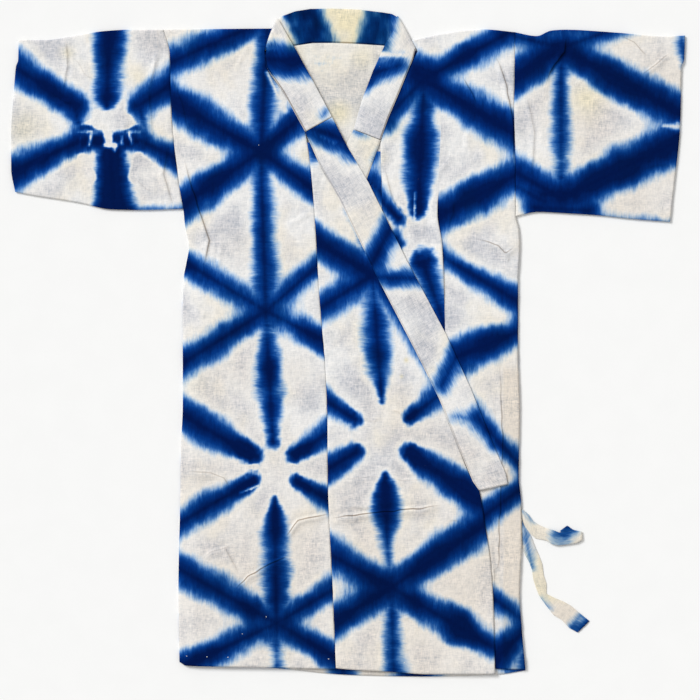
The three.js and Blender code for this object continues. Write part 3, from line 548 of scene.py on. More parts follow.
# ---- Creases: height, half width, how dark the painted shade line along the crease is, and the points they run through ----
CREASES = {
    "front_right": [
        (1.5, 2.0, 1, (-108, -236), (-95, -223), (-72, -210), (-53, -202)),
        (1.9, 2.3, 0.9, (-60, -186), (-47, -169), (-14, -163)),
        (1.5, 2.6, 0.42, (-159, -124), (-130, -124), (-119, -129), (-112, -139)),
        (1.4, 2.0, 0.8, (-159, 179), (-145, 135), (-133, 97), (-138, 71)),
        (0.78, 2.4, 0.2, (-172, 262), (-158, 225), (-150, 190)),
        (1.1, 2.4, 0.25, (-142, -208), (-129, -199), (-117, -195), (-111, -208), (-102, -224)),
    ],
    "okumi_right": [
        (2.3, 2.8, 1, (-18, -168), (2, -165), (23, -162), (65, -159), (92, -154)),
        (0.62, 2.2, 0.2, (-14, -132), (20, -128), (60, -132), (96, -126)),
        (0.62, 2.4, 0.2, (0, -250), (40, -262), (90, -252)),
    ],
    "front_left": [
        (1.7, 2.0, 0.7, (118, 99), (142, 92), (149, 84), (159, 91)),
        (0.93, 1.7, 0.65, (108, 252), (122, 226)),
        (1.55, 1.8, 0.8, (138, 276), (150, 241), (156, 205), (157, 160)),
        (0.93, 1.6, 0.27, (33, 171), (41, 136), (59, 111)),
        (0.78, 1.8, 0.35, (100, 136), (99, 122), (94, 112)),
        (0.46, 1.6, 0.73, (143, -10), (146, -94), (143, -169), (141, -240)),
        (0.78, 2.0, 0.35, (134, -180), (138, -220), (136, -262)),
    ],
    "sleeve_right": [
        (1.08, 1.7, 0.27, (-269, 290), (-267, 262), (-270, 240)),
        (0.78, 2.4, 0.17, (-180, 285), (-190, 240), (-186, 190)),
        (1.4, 1.9, 0.35, (-172, 190), (-176, 160), (-166, 128)),
    ],
    "sleeve_left": [
        (1.08, 1.8, 0.42, (258, 290), (271, 284), (284, 270)),
        (1.24, 1.7, 0.5, (278, 253), (292, 264), (307, 275)),
        (1.71, 1.9, 0.95, (206, 290), (205, 276), (194, 264), (187, 246)),
        (0.93, 2.0, 0.2, (168, 240), (176, 200), (172, 150)),
    ],
}
STRAY_CREASES = {
    "front_right": 20, "okumi_right": 15, "front_left": 16, "sleeve_right": 11, "sleeve_left": 11,
}
STRAY_STEP = 9
SLACK_WAVES = [(0.3, 46, 21), (0.16, 21, 22), (0.07, 8, 23)]  # height, period and seed
CREASE_LEAN = (0.62, 1.5)  # a crease leans over, steep on one side
CREASE_FADE = 0.25  # the share of its length over which each of its ends dies away
# how far from a crease its painted shade line may lie
SHADE_LINE_REACH = 6


def stray_creases(name, x, y):
    """Short faint creases strewn over a piece, as from storage."""
    chance = np.random.default_rng(SEED + sum(map(ord, name)))
    made = []
    for _ in range(STRAY_CREASES.get(name, 0)):
        row, column = chance.integers(0, x.shape[0]), chance.integers(0, x.shape[1])
        start = np.array([x[row, column], y[row, column]])
        turn = chance.uniform(0, pi)
        points = [tuple(start)]
        for _ in range(3):
            turn += chance.uniform(-0.6, 0.6)
            start = start + STRAY_STEP * chance.uniform(0.6, 1.5) * np.array([cos(turn), sin(turn)])
            points.append(tuple(start))
        made.append((chance.uniform(0.35, 0.8), chance.uniform(1.5, 2.4), chance.uniform(0, 0.2), *points))
    return made


def relief(name, x, y):
    """Creases and slack of a piece, with the attributes of the painted shade line along the creases."""
    dz = sum(height * noise(x, y, period, seed) for height, period, seed in SLACK_WAVES)
    line_at, line_by = np.full(x.shape, 9.0), np.zeros(x.shape)
    for height, half, dark, *points in CREASES.get(name, []) + stray_creases(name, x, y):
        spread = np.full(x.shape, 1e9)
        signed, where = np.zeros(x.shape), np.zeros(x.shape)
        for k, (a, b) in enumerate(zip(points, points[1:])):
            share, away, side = to_segment(a, b, x, y)
            nearer = away < spread
            spread, signed = np.where(nearer, away, spread), np.where(nearer, side, signed)
            where = np.where(nearer, (k + share) / (len(points) - 1), where)
        signed = signed + 0.8 * noise(x, y, 9, 24)
        fade = np.where(spread > 4 * half, 0, ease(np.minimum(where, 1 - where) / CREASE_FADE))
        steep = np.where(signed > 0, *CREASE_LEAN)
        dz = dz + height * fade * (bump(signed, half * steep) - 0.3 * bump(signed - 1.5 * half, half))
        # a thin brown line of painted shade on the steep side of each crease
        stronger = (dark * fade > line_by) & (np.abs(signed) < SHADE_LINE_REACH)
        line_at = np.where(stronger, signed - 0.4 * half, line_at)
        line_by = np.where(stronger, dark * fade, line_by)
    return dz, {"line_at": line_at, "line_by": line_by}


def seam_relief(distance, along, seed, groove=0.42, pucker=0.3):
    """The groove of a seam at distance 0, with the small puckers that its stitches draw up."""
    puckers = pucker * noise(along, distance, (6.5, 9), seed) * bump(distance, 7)
    return -groove * bump(distance, 1.5) + puckers


# ---- Making meshes ----
def put(name, data):
    made = bpy.data.objects.new(name, data)
    bpy.context.scene.collection.objects.link(made)
    return made


def shell(name, points, half, attributes, wrap=False):
    """A closed shell: the grid of points moved out by half on both sides, with its rims closed."""
    rows, columns, _ = points.shape
    half = np.broadcast_to(half, (rows, columns))[..., None]
    down = np.roll(points, -1, 0) - np.roll(points, 1, 0) if wrap else np.gradient(points, axis=0)
    normal = np.cross(down, np.gradient(points, axis=1))
    normal /= np.maximum(np.linalg.norm(normal, axis=2, keepdims=True), 1e-9)
    places = np.concatenate([(points + side * normal * half).reshape(-1, 3) for side in (1, -1)])
    under = rows * columns
    index = np.arange(under).reshape(rows, columns)
    if wrap:
        index = np.vstack([index, index[:1]])
    rims = [index[::-1, 0], index[:, -1]]
    if not wrap:
        rims += [index[0], index[-1, ::-1]]
    a, b, c, d = index[:-1, :-1], index[:-1, 1:], index[1:, 1:], index[1:, :-1]
    quads = [np.stack([a, b, c, d], -1).reshape(-1, 4), np.stack([d, c, b, a], -1).reshape(-1, 4) + under]
    quads += [np.stack([rim[1:], rim[:-1], rim[:-1] + under, rim[1:] + under], -1) for rim in rims]
    quads = np.concatenate(quads)
    first, *others = places[quads].swapaxes(0, 1)
    volume = sum((first * np.cross(p, q)).sum() for p, q in zip(others, others[1:]))
    if volume < 0:
        quads = quads[:, ::-1]
    mesh = bpy.data.meshes.new(name)
    mesh.vertices.add(len(places))
    mesh.vertices.foreach_set("co", (places * MM).ravel())
    mesh.loops.add(quads.size)
    mesh.loops.foreach_set("vertex_index", quads.ravel().astype(np.int32))
    mesh.polygons.add(len(quads))
    mesh.polygons.foreach_set("loop_start", np.arange(0, quads.size, 4, dtype=np.int32))
    mesh.update(calc_edges=True)
    mesh.validate()
    mesh.shade_smooth()
    for key, values in attributes.items():
        layer = mesh.attributes.new(key, "FLOAT_VECTOR" if values.ndim == 3 else "FLOAT", "POINT")
        both_sides = np.concatenate([values.reshape(under, -1)] * 2).ravel()
        layer.data.foreach_set("vector" if values.ndim == 3 else "value", both_sides)
    return put(name, mesh)


def on_cloth(across, along):
    """The place on the cloth by which the material lays its threads and its noise."""
    return np.dstack([across, along, 0 * across]) * MM


def cloth_piece(name, node, points, attributes, half=CLOTH_T / 2,
                wrap=False):
    """A piece of cloth, with everything that the frame is told about it."""
    attributes = {"cloth": on_cloth(points[..., 0], points[..., 1])} | attributes
    made = shell(name, points, half, attributes, wrap)
    made.data.materials.append(COTTON)
    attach(made, "root")
    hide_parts(node)


# ---- Fronts and back ----
HEM_BAND = 12  # the hem is turned up twice, this deep
HEM_START_Y = -232  # the rows of a grid are level down to here, and turn to the hem's slant below
HEM_REACH = 76
CORNERS_Y = -300  # the height at which a hem's ends are looked up
PANEL_WIDTH, BACK_WIDTH, BACK_LENGTH, OKUMI_WIDTH, SLEEVE_DEPTH = 150, 320, 590, 165, 160
DEEPEST_FRONT, DEEPEST_OKUMI = -0.9, -0.8  # a dip stays above the layer below
SEAM_INSET = 0.04
UNDER_COLLAR = 1.2  # the fronts run this far under the collar at the neck's corners


def hem_relief(above_hem):
    """The step up to the doubled cloth of the hem, and its softly rolled edge."""
    return 0.4 * ease((HEM_BAND + 0.6 - above_hem) / 1.2) - 0.35 * bump(above_hem, 1.3)


def hem_rows(low, step):
    """Rows that turn from level to the slant of the hem."""
    return mix(HEM_START_Y, low, steps(0, 1, step / HEM_REACH)[1:, None])


def front_grid(columns_at, count, step=FINE):
    """A front, from behind the shoulder over its fold to the hem: x, y, z, and whether in front."""
    at_corner = columns_at(np.full((1, count), NECK_CORNER_Y))
    top = shoulder(at_corner) - BEND_INSET
    flat = np.ones((1, count))
    turn = np.linspace(0, pi, BEND_ROWS + 1)[1:-1, None]
    behind = mix(NECK_CORNER_Y, top, steps(0, 1, step / 20)[:, None])
    bend = top + BEND_RADIUS * np.sin(turn)
    main = steps(NECK_CORNER_Y, HEM_START_Y, step)[1:, None] * flat
    low = hem_rows(front_hem(columns_at(CORNERS_Y * flat)), step)
    y = np.vstack([behind, bend, behind[::-1], main, low])
    z = np.vstack([
        BACK_Z * np.ones_like(behind),
        BACK_Z + BEND_RADIUS * (1 - np.cos(turn)) * flat,
        FRONT_Z * np.ones((len(behind) + len(main) + len(low), count)),
    ])
    in_front = np.arange(len(y))[:, None] >= len(behind) + len(bend)
    return columns_at(y), y, z, in_front


def fold_x(fold, y):
    (x0, y0), (x1, y1) = fold
    return mix(x0, x1, (y - y0) / (y1 - y0))


def panel_relief(name, x, y, seam_seeds, from_inner, from_side):
    """Creases, seams and hem of a front, flat where it goes over the shoulder."""
    lift, lines = relief(name, x, y)
    lift = lift * ease((shoulder(x) - y - 2) / 9)
    lift += seam_relief(from_inner, y, seam_seeds[0]) + seam_relief(from_side, y, seam_seeds[1])
    return lift + hem_relief(y - front_hem(x)), lines


def front_right():
    count = int(PANEL_WIDTH / FINE)
    share = np.linspace(0, 1, count)

    def columns_at(y):
        inner = np.where(y > NECK_CORNER_Y, fold_x(FOLD_RIGHT, y), inner_right(y)) - SEAM_INSET
        return mix(side_right(y) + SEAM_INSET, inner + UNDER_COLLAR * ease((y - 262) / 8), share)

    x, y, z, in_front = front_grid(columns_at, count)
    from_side = x - side_right(y)
    lift, lines = panel_relief("front_right", x, y, (31, 32), inner_right(y) - x, from_side)
    ramp = ease(from_side / SHOULDER_RAMP) * ease((shoulder(x) - y) / SHOULDER_RAMP)
    z = z + in_front * ((LAPPED_Z - FRONT_Z) * ramp + np.maximum(lift, DEEPEST_FRONT))
    points = np.dstack([x, y, z])
    attributes = dye("front_right", x, y) | lines
    cloth_piece("front_right", "body", points, attributes)
    return along_hem(points, front_hem)


# Across the tuck: how far along it, distance from the edge where flat, and place and height where folded.
TUCK_PROFILE = [
    (0.0, -16, -16, 0.0), (0.12, -12, -11.5, 0.1), (0.24, -9, -7.5, 0.42), (0.36, -6, -4.6, 0.78),
    (0.46, -3.5, -2.6, 0.95), (0.54, -1.5, -1.0, 1.0), (0.6, 0, 0.0, 0.88), (0.66, 1, 0.2, 0.6),
    (0.72, 1.8, -0.6, 0.36), (0.8, 3, -1.1, 0.16), (0.88, 4, 0.4, 0.0), (1.0, 7, 7, 0.0),
]
TUCK_EDGE_SHARE = 0.66
INNER_COLUMNS, TUCK_COLUMNS, OUTER_COLUMNS = 25, 25, 37
TUCK_FULLNESS = 1.35


def front_left():
    along_tuck, *profile = np.array(TUCK_PROFILE).T
    within = np.linspace(0, 1, TUCK_COLUMNS)
    flat_offset, folded_offset, height = (np.interp(within, along_tuck, column) for column in profile)
    inner_share = np.linspace(0, 1, INNER_COLUMNS + 1)[:-1]
    outer_share = np.linspace(0, 1, OUTER_COLUMNS + 1)[1:]
    count = len(inner_share) + len(within) + len(outer_share)

    def columns_at(y):
        inner = np.where(y > NECK_CORNER_Y, fold_x(FOLD_LEFT, y), inner_left(y)) + SEAM_INSET
        outer = side_left(y) - SEAM_INSET
        edge = tuck_edge(y)[:, :1]
        folded = ease(tuck_height(y) / 1.2)[:, :1]
        return np.hstack([
            mix(inner[:, : len(inner_share)], edge + flat_offset[0], inner_share),
            edge + mix(flat_offset, folded_offset, folded),
            mix(edge + flat_offset[-1], outer[:, -len(outer_share):], outer_share),
        ])

    x, y, z, in_front = front_grid(columns_at, count)
    lift, lines = panel_relief("front_left", x, y, (33, 34), x - inner_left(y), side_left(y) - x)
    tucked = np.concatenate([np.zeros(len(inner_share)), height, np.zeros(len(outer_share))])
    z = z + in_front * (lift + TUCK_FULLNESS * tuck_height(y) * tucked)
    before_edge = np.arange(count) < len(inner_share) + int(TUCK_EDGE_SHARE * len(within))
    inner_dye, outer_dye = dye("front_left_inner", x, y), dye("front_left_outer", x, y)
    attributes = {key: np.where(before_edge, inner_dye[key], outer_dye[key]) for key in inner_dye} | lines
    beyond_okumi = ease((x - 145) / 3) * ease((-12 - y) / 20)  # a creamier strip along the side seam
    attributes["cream"] = np.maximum(attributes["cream"], 0.9 * beyond_okumi)
    cloth_piece("front_left", "body", np.dstack([x, y, z]), attributes)


def back():
    share = np.linspace(0, 1, int(BACK_WIDTH / MIDDLING))
    corner_x = mix(side_right(NECK_CORNER_Y), side_left(NECK_CORNER_Y), share)
    in_neck = (corner_x > FOLD_RIGHT[0][0]) & (corner_x < FOLD_LEFT[0][0])
    top = np.where(in_neck, back_neck(corner_x) - SEAM_INSET, NECK_CORNER_Y)
    bottom = back_hem(mix(side_right(CORNERS_Y), side_left(CORNERS_Y), share))
    y = mix(bottom, top, steps(0, 1, MIDDLING / BACK_LENGTH)[:, None])
    x = mix(side_right(y) + SEAM_INSET, side_left(y) - SEAM_INSET, share)
    lift, lines = relief("back", x, y)
    slack = np.clip(0.45 + 0.6 * lift, 0, 1.1)
    edge = np.minimum(np.minimum(x - side_right(y), side_left(y) - x), np.minimum(y - bottom, top - y))
    z = BACK_Z + slack * ease(edge / 22)
    attributes = dye("back", x, y) | lines
    attributes["yellow"] = np.maximum(attributes["yellow"], 0.2 * (y > 150))
    cloth_piece("back", "body", np.dstack([x, y, z]), attributes)


# ---- The small stitches that hold the hem ----
STITCHES_APART = 18.5
STITCHES_UP = 10  # above the hem
STITCHES_IN = 7  # from a panel's edges
STITCH_LENGTH = 1.3
STITCH_RADIUS = 0.3
STITCH_SIDES = 6


def along_hem(points, hem):
    """Where a panel's hem stitches come through, evenly along the row of its grid above the hem."""
    x, y, z = np.moveaxis(points, -1, 0)
    row = np.argmin(np.abs((y - hem(x)).mean(axis=1) - STITCHES_UP))
    at = steps(x[row].min() + STITCHES_IN, x[row].max() - STITCHES_IN, STITCHES_APART)
    at = at + 1.5 * noise(at, 0 * at, 5, 51)
    return np.stack([at, np.interp(at, x[row], y[row]), np.interp(at, x[row], z[row] + CLOTH_T / 2)], -1)


def hem_stitches(places):
    stations = [(-1, 0.3), (-0.6, 0.9), (0, 1), (0.6, 0.9), (1, 0.3)]
    turn = np.linspace(0, 2 * pi, STITCH_SIDES, endpoint=False)
    ring = np.stack([0 * turn, np.cos(turn), 0.7 * np.sin(turn)], -1) * STITCH_RADIUS
    bead = np.concatenate([ring * size + [at * STITCH_LENGTH / 2, 0, 0] for at, size in stations])
    last = len(bead) - STITCH_SIDES
    faces = [range(STITCH_SIDES)[::-1], range(last, len(bead))]
    for a in range(last):
        b = a + 1 if (a + 1) % STITCH_SIDES else a + 1 - STITCH_SIDES
        faces.append([a, b, b + STITCH_SIDES, a + STITCH_SIDES])
    corners, sides = [], []
    for place in np.concatenate(places):
        sides += [[k + len(corners) for k in face] for face in faces]
        corners += [tuple((corner + place) * MM) for corner in bead]
    mesh = bpy.data.meshes.new("hem_stitches")
    mesh.from_pydata(corners, [], sides)
    mesh.shade_smooth()
    mesh.materials.append(sewing_thread())
    made = put("hem_stitches", mesh)
    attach(made, "root")


# ---- Okumi: the tapered panels that widen the fronts ----
def okumi(name, seam, collar_seam, hem, top, z, step):
    toward = 1 if name == "okumi_right" else -1
    count = int(OKUMI_WIDTH / step)
    share = np.linspace(0, 1, count)
    main = steps(top, HEM_START_Y, step)[:, None] * np.ones((1, count))
    y = np.vstack([main, hem_rows(hem(mix(seam(CORNERS_Y), collar_seam(CORNERS_Y), share)), step)])
    x = mix(seam(y) + toward * SEAM_INSET, collar_seam(y) - toward * SEAM_INSET, share)
    from_seam, from_collar = toward * (x - seam(y)), toward * (collar_seam(y) - x)
    lift, lines = relief(name, x, y)
    lift = lift * ease(from_collar / 6 + 0.2)  # calmer by the collar
    lift += seam_relief(from_seam, y, 35) + seam_relief(from_collar, y, 36, groove=0.4)
    lift += hem_relief(y - hem(x))
    points = np.dstack([x, y, z + np.maximum(lift, DEEPEST_OKUMI)])
    cloth_piece(name + "_cloth", name, points, dye(name, x, y) | lines)
    return along_hem(points, hem)


# ---- Sleeves: flattened tubes ----
SLEEVE_PUFF = 0.7


def sleeve(name):
    outline = SLEEVES[name]
    armhole, cuff, top_y, bottom_y = (outline[key] for key in ("armhole", "cuff", "top", "bottom"))
    start, end = outline["ends"]
    outward = np.sign(end)
    s = steps(0, 1, FINE / abs(end - start))
    lower, upper = steps(0, 1, MIDDLING / SLEEVE_DEPTH), steps(1, 0, FINE / SLEEVE_DEPTH)
    turn = np.linspace(0, pi, BEND_ROWS + 1)[1:-1]
    # Round the tube from the bottom fold: its under side, the top fold, its upper side, the bottom fold.
    share = np.concatenate([lower, 0 * turn + 1, upper, 0 * turn])[:, None]
    beyond = np.concatenate([0 * lower, np.sin(turn), 0 * upper, -np.sin(turn)])[:, None] * BEND_RADIUS
    half_rise = (1 - np.cos(turn)) / 2
    rise = np.concatenate([0 * lower, half_rise, 0 * upper + 1, 1 - half_rise])[:, None]
    x = mix(start, end, s) * np.ones_like(share)
    for _ in range(4):  # x and y hang on each other, and settle in a few rounds
        y = mix(bottom_y(x) + BEND_INSET, top_y(x) - BEND_INSET, share) + beyond
        x = mix(armhole(y) + outward * SEAM_INSET, cuff(y), s)
    lift, lines = relief(name, x, y)
    lift = lift * ease(np.minimum(share, 1 - share) * 165 / 8)  # flat at both folds
    lift += SLEEVE_PUFF * np.sin(pi * s) * np.sin(pi * share)
    lift += seam_relief(outward * (x - armhole(y)), y, 37)
    lift += seam_relief(outward * (cuff(y) - x), y, 38, groove=0.3, pucker=0.2)
    points = np.dstack([x, y, BACK_Z + (FRONT_Z - BACK_Z) * rise + (rise == 1) * lift])
    attributes = dye(name, x, y) | lines
    cloth_piece(name + "_cloth", name, points, attributes, wrap=True)


# ---- Bands: a section holds its two edges and the direction of its outer face ----
UP, DOWN = np.array([0.0, 0, 1]), np.array([0.0, 0, -1])
SEAM_LINE_AT = 0.9  # a painted shade line this far from a band's seam
SEAM_LINES = {"over_collar": 0.9, "collar_right": 0.4, "collar_left": 0.4}


def band_yellow(name, x, y):
    """How yellow each band is, by place."""
    if name == "over_collar":
        return ease((y - 272) / 8) * ease((44 - x) / 8) * ease((x + 62) / 8)
    if name == "tie_lower":
        return 0.8 * ease((-190 - y) / 20) * ease((y + 252) / 12)
    return {"collar_left": 0.25, "tie_upper": 0.25}.get(name, 0) + 0 * x


def flat_sections(rows, out):
    return [(np.array([x0, y0, z]), np.array([x1, y1, z]), out) for x0, y0, x1, y1, z in rows]


def fold_sections(low, high, outward, start_z, end_z, thickness):
    """Sections round a fold along the line low to high, bulging to the side of outward."""
    radius, middle, way = abs(end_z - start_z) / 2, (start_z + end_z) / 2, np.sign(end_z - start_z)
    made = []
    for turn in np.linspace(0, pi, BEND_ROWS + 1):
        reach = radius * sin(turn) - radius - thickness / 2
        shift = np.array([*(outward * reach), middle - way * radius * cos(turn)])
        out = np.array([*(outward * sin(turn)), -way * cos(turn)])
        made.append((np.array([*low, 0]) + shift, np.array([*high, 0]) + shift, out))
    return made


def collar_fold(fold, start_z, end_z):
    low, high = np.array(fold, float)
    along = (high - low) / np.linalg.norm(high - low)
    outward = np.array([along[1], -along[0]]) * np.sign(low[0])
    return fold_sections(low + along * COLLAR_FOLD_RISE, high, outward, start_z, end_z, OVER_COLLAR_T)


def band(name, sections, thickness, step=FINE, crown=0.15, slack=0.2,
         strips=18, gathers=0.0, crumpled=None):
    """A flat tube of cloth through the sections, fuller along its middle, thin and round at both edges."""
    a, b, out = (np.array(part) for part in zip(*sections))
    run = np.concatenate([[0], np.cumsum(np.linalg.norm(np.diff((a + b) / 2, axis=0), axis=1))])
    fold_stops = run[1:-1][np.diff(run)[1:] < 3]  # sections this close together round a fold
    at = np.unique(np.round(np.concatenate([steps(0, run[-1], step), fold_stops]), 3))
    at = at[np.concatenate([[True], np.diff(at) > 0.25])]
    a, b, out = (np.stack([np.interp(at, run, part[:, k]) for k in range(3)], -1) for part in (a, b, out))
    out /= np.linalg.norm(out, axis=1, keepdims=True)
    share = (1 - np.cos(np.linspace(0, pi, strips + 1))) / 2
    across, along = share * np.linalg.norm(b - a, axis=1)[:, None], at[:, None] * np.ones_like(share)
    full = np.sqrt(np.maximum(1 - np.abs(2 * share - 1) ** 5, 0.02))
    lift = slack * (noise(across, along, (14, 22), 41) + 0.4 * noise(across, along, 7, 42))
    lift += crown * np.sin(pi * share) + gathers * noise(across, along, (2.6, 22), 44)
    if crumpled:  # from this far along
        lift += 0.9 * ease((along - crumpled) / 18) * noise(across + along, across - along, (16, 7), 46)
    lift = lift * full * (out[:, 2:] > 0.3)
    points = mix(a[:, None], b[:, None], share[None, :, None]) + out[:, None] * lift[..., None]
    x, y = points[..., 0], points[..., 1]
    attributes = dye(name, x, y)
    attributes["cloth"] = on_cloth(across, along)
    # a thin painted shade line along the band's seam, where it lies on the body
    attributes["line_at"] = across - SEAM_LINE_AT
    attributes["line_by"] = np.full(x.shape, SEAM_LINES.get(name, 0.0))
    attributes["yellow"] = band_yellow(name, x, y) * (0.85 + 0.3 * noise(x, y, 12, 45))
    cloth_piece(name + "_band", name, points, attributes, half=full * thickness / 2)


def collar(name, rows, crumpled=None):
    band(name, flat_sections(rows, UP), COLLAR_T, crumpled=crumpled)


def over_collar():
    sections = [
        *flat_sections(NECK_FRONT_RIGHT, UP),
        *collar_fold(FOLD_RIGHT, NECK_RIGHT_Z, NECK_BACK_Z),
        *flat_sections(NECK_BACK, DOWN),
        *collar_fold(FOLD_LEFT, NECK_BACK_Z, NECK_LEFT_TURN_Z),
        *flat_sections(NECK_FRONT_LEFT, UP),
    ]
    band("over_collar", sections, OVER_COLLAR_T, slack=0.12)


# ---- Ties ----
def tie(name, sections):
    band(name, sections, TIE_T, step=1.1, crown=0.2, slack=0.25,
         strips=16, gathers=0.3)


def upper_tie_sections():
    run = flat_sections(TIE_UPPER, UP)
    reach = np.array([(TIE_TURN_Z - TIE_Z + TIE_T) / 2, 0])
    low, high = (edge[:2] + reach for edge in run[-1][:2])
    turn = fold_sections(low, high, np.array([1.0, 0]), TIE_TURN_Z, TIE_Z, TIE_T)
    return [*run, *turn[1:], *flat_sections(TIE_TIP, DOWN)]


# ---- Materials ----
def srgb(*colour):
    """A colour as a screen shows it, 0 to 255, as linear light."""
    return tuple(((c / 255 + 0.055) / 1.055) ** 2.4 if c > 10 else c / 255 / 12.92 for c in colour)


class Graph:
    """A material's nodes, made and linked in one call each."""

    def __init__(self, name):
        self.material = bpy.data.materials.new(name)
        self.material.use_nodes = True
        self.tree = self.material.node_tree
        self.shader = self.tree.nodes["Principled BSDF"]

    def add(self, kind, *inputs, out=0, **settings):
        node = self.tree.nodes.new("ShaderNode" + kind)
        for key, value in settings.items():
            setattr(node, key, value)
        for key, value in enumerate(inputs):
            self.set(node.inputs[key], value)
        return node.outputs[out]

    def set(self, socket, value):
        if isinstance(value, bpy.types.NodeSocket):
            self.tree.links.new(value, socket)
        elif value is not None:
            socket.default_value = value

    def math(self, operation, *inputs):
        return self.add("Math", *inputs, operation=operation)

    def times(self, a, b, plus=0.0):
        return self.math("MULTIPLY_ADD", a, b, plus)

    def remap(self, value, start, end, low, high):
        """The value brought from start and end to low and high, and held between them."""
        return self.add("MapRange", value, start, end, low, high)

    def attribute(self, name, out="Fac"):
        return self.add("Attribute", out=out, attribute_name=name)

    def noise(self, across, along, detail=2.0, shift=0.0):
        """Noise about 0 with the given periods in mm across and along the cloth."""
        scaled = self.add("VectorMath", self.place, (1000 / across, 1000 / along, 1), operation="MULTIPLY")
        moved = self.add("VectorMath", scaled, (shift, shift * 0.7, shift * 1.3), operation="ADD")
        return self.math("SUBTRACT", self.add("TexNoise", moved, None, 1.0, detail), 0.5)

    def ramp(self, factor, stops):
        made = self.add("ValToRGB", factor)
        elements = made.node.color_ramp.elements
        while len(elements) < len(stops):
            elements.new(0.5)
        for element, (position, colour) in zip(elements, stops):
            element.position = position
            element.color = (*colour, 1)
        return made

    def blend(self, factor, a, b, mode="MIX"):
        node = self.tree.nodes.new("ShaderNodeMix")
        node.data_type = "RGBA"
        node.blend_type = mode
        for socket, value in ((node.inputs[0], factor), (node.inputs[6], a), (node.inputs[7], b)):
            self.set(socket, (*value, 1) if isinstance(value, tuple) else value)
        return node.outputs[2]

    def finish(self, colour, roughness, specular=0.5):
        for name, value in (
            ("Base Color", colour), ("Roughness", roughness), ("Specular IOR Level", specular),
        ):
            self.set(self.shader.inputs[name], value)
        return self.material


UNDYED = srgb(241, 240, 238)
WARM = srgb(243, 236, 222)
GREY = srgb(201, 202, 208)
CREAM = srgb(228, 218, 205)
YELLOW = srgb(236, 226, 194)
# the brown of the painted shade lines along creases and seams
SHADE_LINE_BROWN = srgb(140, 122, 104)
FOLD_NAVY = srgb(0, 20, 78)  # where the cloth was folded the dye is darkest
# Depth inside a ray in mm, and the colour that white cloth takes there.
DYE_DEPTHS = [
    (-5.5, (255, 255, 255)), (-3.2, (224, 237, 252)), (-1.2, (166, 200, 241)), (0.8, (84, 140, 213)),
    (2.8, (26, 88, 174)), (5.2, (3, 60, 145)), (8.4, (0, 41, 115)), (13.0, (0, 26, 87)),
]
STREAKS = [(0.9, 6, 3.6), (2.2, 11, 4.4), (7, 19, 5.5)]  # of bleeding dye: width, length and depth
THREAD = 0.95  # pitch of the threads
SHADE_OF_THREADS = (1.0, 0.86, 0.7)  # a thin place lets the blue-grey shade through
SPECKS_APART = 25  # specks of lint on the cloth


def dyed_cotton():
    g = Graph("dyed_cotton")
    g.place = g.attribute("cloth", "Vector")
    warp_slub = g.times(g.noise(1.7, 13, 2, 5), 0.55, g.noise(0.8, 4.5, 3))
    weft_slub = g.times(g.noise(13, 1.7, 2, 9), 0.55, g.noise(4.5, 0.8, 3, 7))
    mottle = g.times(g.noise(5, 5, 3, 15), 0.5)
    clouds = g.noise(38, 44, 3, 3)
    bleed = g.attribute("bleed")

    def bleeding(turned, shift):
        """The streaks' depth, along the warp or turned to the weft."""
        total = 0.0
        for k, (width, length, strength) in enumerate(STREAKS):
            sides = (length, width) if turned else (width, length)
            total = g.times(g.noise(*sides, 2, shift + 2 * k), strength, total)
        return total

    edge = g.times(bleed, 0.75, 0.25)
    depth = g.math(
        "SMOOTH_MAX",
        g.times(bleeding(False, 11), edge, g.attribute("dye_slant")),
        g.times(bleeding(True, 21), edge, g.attribute("dye_upright")),
        4.5,
    )
    depth = g.math("DIVIDE", depth, g.times(bleed, 0.85, 0.3))
    first, last = DYE_DEPTHS[0][0], DYE_DEPTHS[-1][0]
    share = g.remap(depth, first, last, 0.0, 1.0)
    tint = g.ramp(share, [((d - first) / (last - first), srgb(*c)) for d, c in DYE_DEPTHS])
    near_line = g.remap(g.attribute("dye_line"), 0.2, 3.2, 0.45, 0.0)
    tint = g.blend(g.times(near_line, g.remap(depth, 3.0, 9.0, 0.0, 1.0)), tint, FOLD_NAVY)

    # Far from the dye the cloth is greyer and its weave shows more.
    grey = g.times(g.remap(depth, -4.0, -15.0, 0.0, 1.0), g.remap(clouds, -0.1, 0.1, 0.1, 1.0))
    warm_patch = g.remap(g.noise(34, 44, 2, 29), 0.0, 0.16, 0.0, 0.75)
    cloth = g.blend(g.times(grey, 0.85), g.blend(warm_patch, UNDYED, WARM), GREY)
    cloth = g.blend(g.attribute("cream"), cloth, CREAM)
    cloth = g.blend(g.attribute("yellow"), cloth, YELLOW)
    threads = g.math("ADD", warp_slub, weft_slub)
    rise = g.times(g.math("ADD", threads, mottle), g.times(grey, 0.54, 0.3))
    shade = g.add("CombineXYZ", *(g.times(rise, part, 1.0) for part in SHADE_OF_THREADS))
    coloured = g.blend(1.0, g.blend(1.0, cloth, tint, "MULTIPLY"), shade, "MULTIPLY")
    # painted shade: a thin brown line darkens the colour along creases and band seams
    on_line = g.remap(g.math("ABSOLUTE", g.attribute("line_at")), 0.15, 0.9, 0.85, 0.0)
    painted_shade = g.times(on_line, g.attribute("line_by"))
    coloured = g.blend(painted_shade, coloured, g.blend(1.0, coloured, SHADE_LINE_BROWN, "MULTIPLY"))
    spots = g.add("VectorMath", g.place, (1000 / SPECKS_APART,) * 3, operation="MULTIPLY")
    speck = g.remap(g.add("TexVoronoi", spots, None, 1.0), 0.012, 0.02, 0.75, 0.0)
    coloured = g.blend(speck, coloured, UNDYED)

    turns = 2 * pi / (THREAD * MM)
    waves = [g.math("SINE", g.times(g.add("SeparateXYZ", g.place, out=k), turns)) for k in (0, 1)]
    height = g.times(g.times(*waves), 0.12, g.times(g.noise(5, 6, 2, 31), 2.2))
    height = g.times(threads, 0.32, height)
    g.set(g.shader.inputs["Normal"], g.add("Bump", 0.6, 0.00045, None, height))
    return g.finish(coloured, 0.95, 0.04)


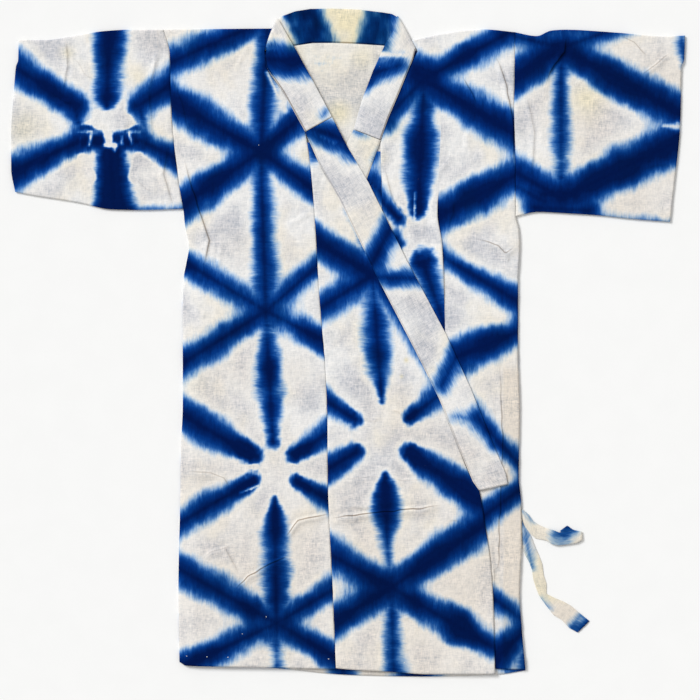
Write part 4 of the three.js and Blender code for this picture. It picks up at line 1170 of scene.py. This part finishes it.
def sewing_thread():
    g = Graph("sewing_thread")
    twist = g.add("TexNoise", g.add("TexCoord", out=3), None, 3000.0, 2.0)
    return g.finish(g.ramp(twist, [(0.3, srgb(226, 223, 216)), (0.7, srgb(247, 245, 240))]), 0.85)


def floor_paper():
    g = Graph("floor_paper")
    grain = g.add("TexNoise", g.add("TexCoord", out=3), None, 40.0, 3.0)
    return g.finish(g.ramp(grain, [(0, srgb(249, 249, 248)), (1, srgb(253, 253, 252))]), 0.95, 0.1)


COTTON = dyed_cotton()


# ---- Camera, light and floor ----
VIEW_WIDTH = 0.665  # what the picture shows across, at the cloth
VIEW_CENTRE = (0.0017, -0.0069)
CAMERA_HEIGHT = 2.2
SENSOR = 36.0
KEY_LIGHT_TOWARD = (0.75, -0.66, -0.86)
FLOOR_REACH = 2.0
FLOOR_Z = -0.0003


def camera():
    data = bpy.data.cameras.new("camera")
    data.sensor_width = SENSOR
    data.lens = SENSOR * CAMERA_HEIGHT / VIEW_WIDTH
    made = put("camera", data)
    made.location = (*VIEW_CENTRE, CAMERA_HEIGHT)
    bpy.context.scene.camera = made


def soft_light(name, toward, width, power):
    """Even light from one side of the studio, as from a wide diffuser width radians across."""
    data = bpy.data.lights.new(name, "SUN")
    data.angle = width
    data.energy = power
    put(name, data).rotation_euler = Vector(toward).to_track_quat("-Z", "Y").to_euler()


def studio():
    scene = bpy.context.scene
    scene.view_settings.view_transform = "Standard"
    world = bpy.data.worlds.new("studio")
    world.use_nodes = True
    background = world.node_tree.nodes["Background"].inputs
    background["Color"].default_value = (1, 1, 1, 1)
    background["Strength"].default_value = 0.5
    scene.world = world
    soft_light("key", KEY_LIGHT_TOWARD, 0.42, 2.3)
    mesh = bpy.data.meshes.new("floor")
    corners = [(x * FLOOR_REACH, y * FLOOR_REACH, 0) for x, y in ((-1, -1), (1, -1), (1, 1), (-1, 1))]
    mesh.from_pydata(corners, [], [(0, 1, 2, 3)])
    mesh.materials.append(floor_paper())
    floor = put("floor", mesh)
    floor.location.z = FLOOR_Z


# ---- The garment ----
def garment():
    back()
    front_left()
    stitched = [front_right()]
    for name in SLEEVES:
        sleeve(name)
    okumi("okumi_left", inner_left, okumi_left_edge, okumi_left_hem, 181.6, FRONT_Z, COARSE)
    stitched.append(
        okumi("okumi_right", inner_right, okumi_right_edge, okumi_right_hem, 190, LAPPED_Z, FINE)
    )
    collar("collar_left", COLLAR_LEFT)
    collar("collar_right", COLLAR_RIGHT, crumpled=345)
    hem_stitches(stitched)
    over_collar()
    tie("tie_upper", upper_tie_sections())
    tie("tie_lower", flat_sections(TIE_LOWER, UP))


camera()
studio()
garment()
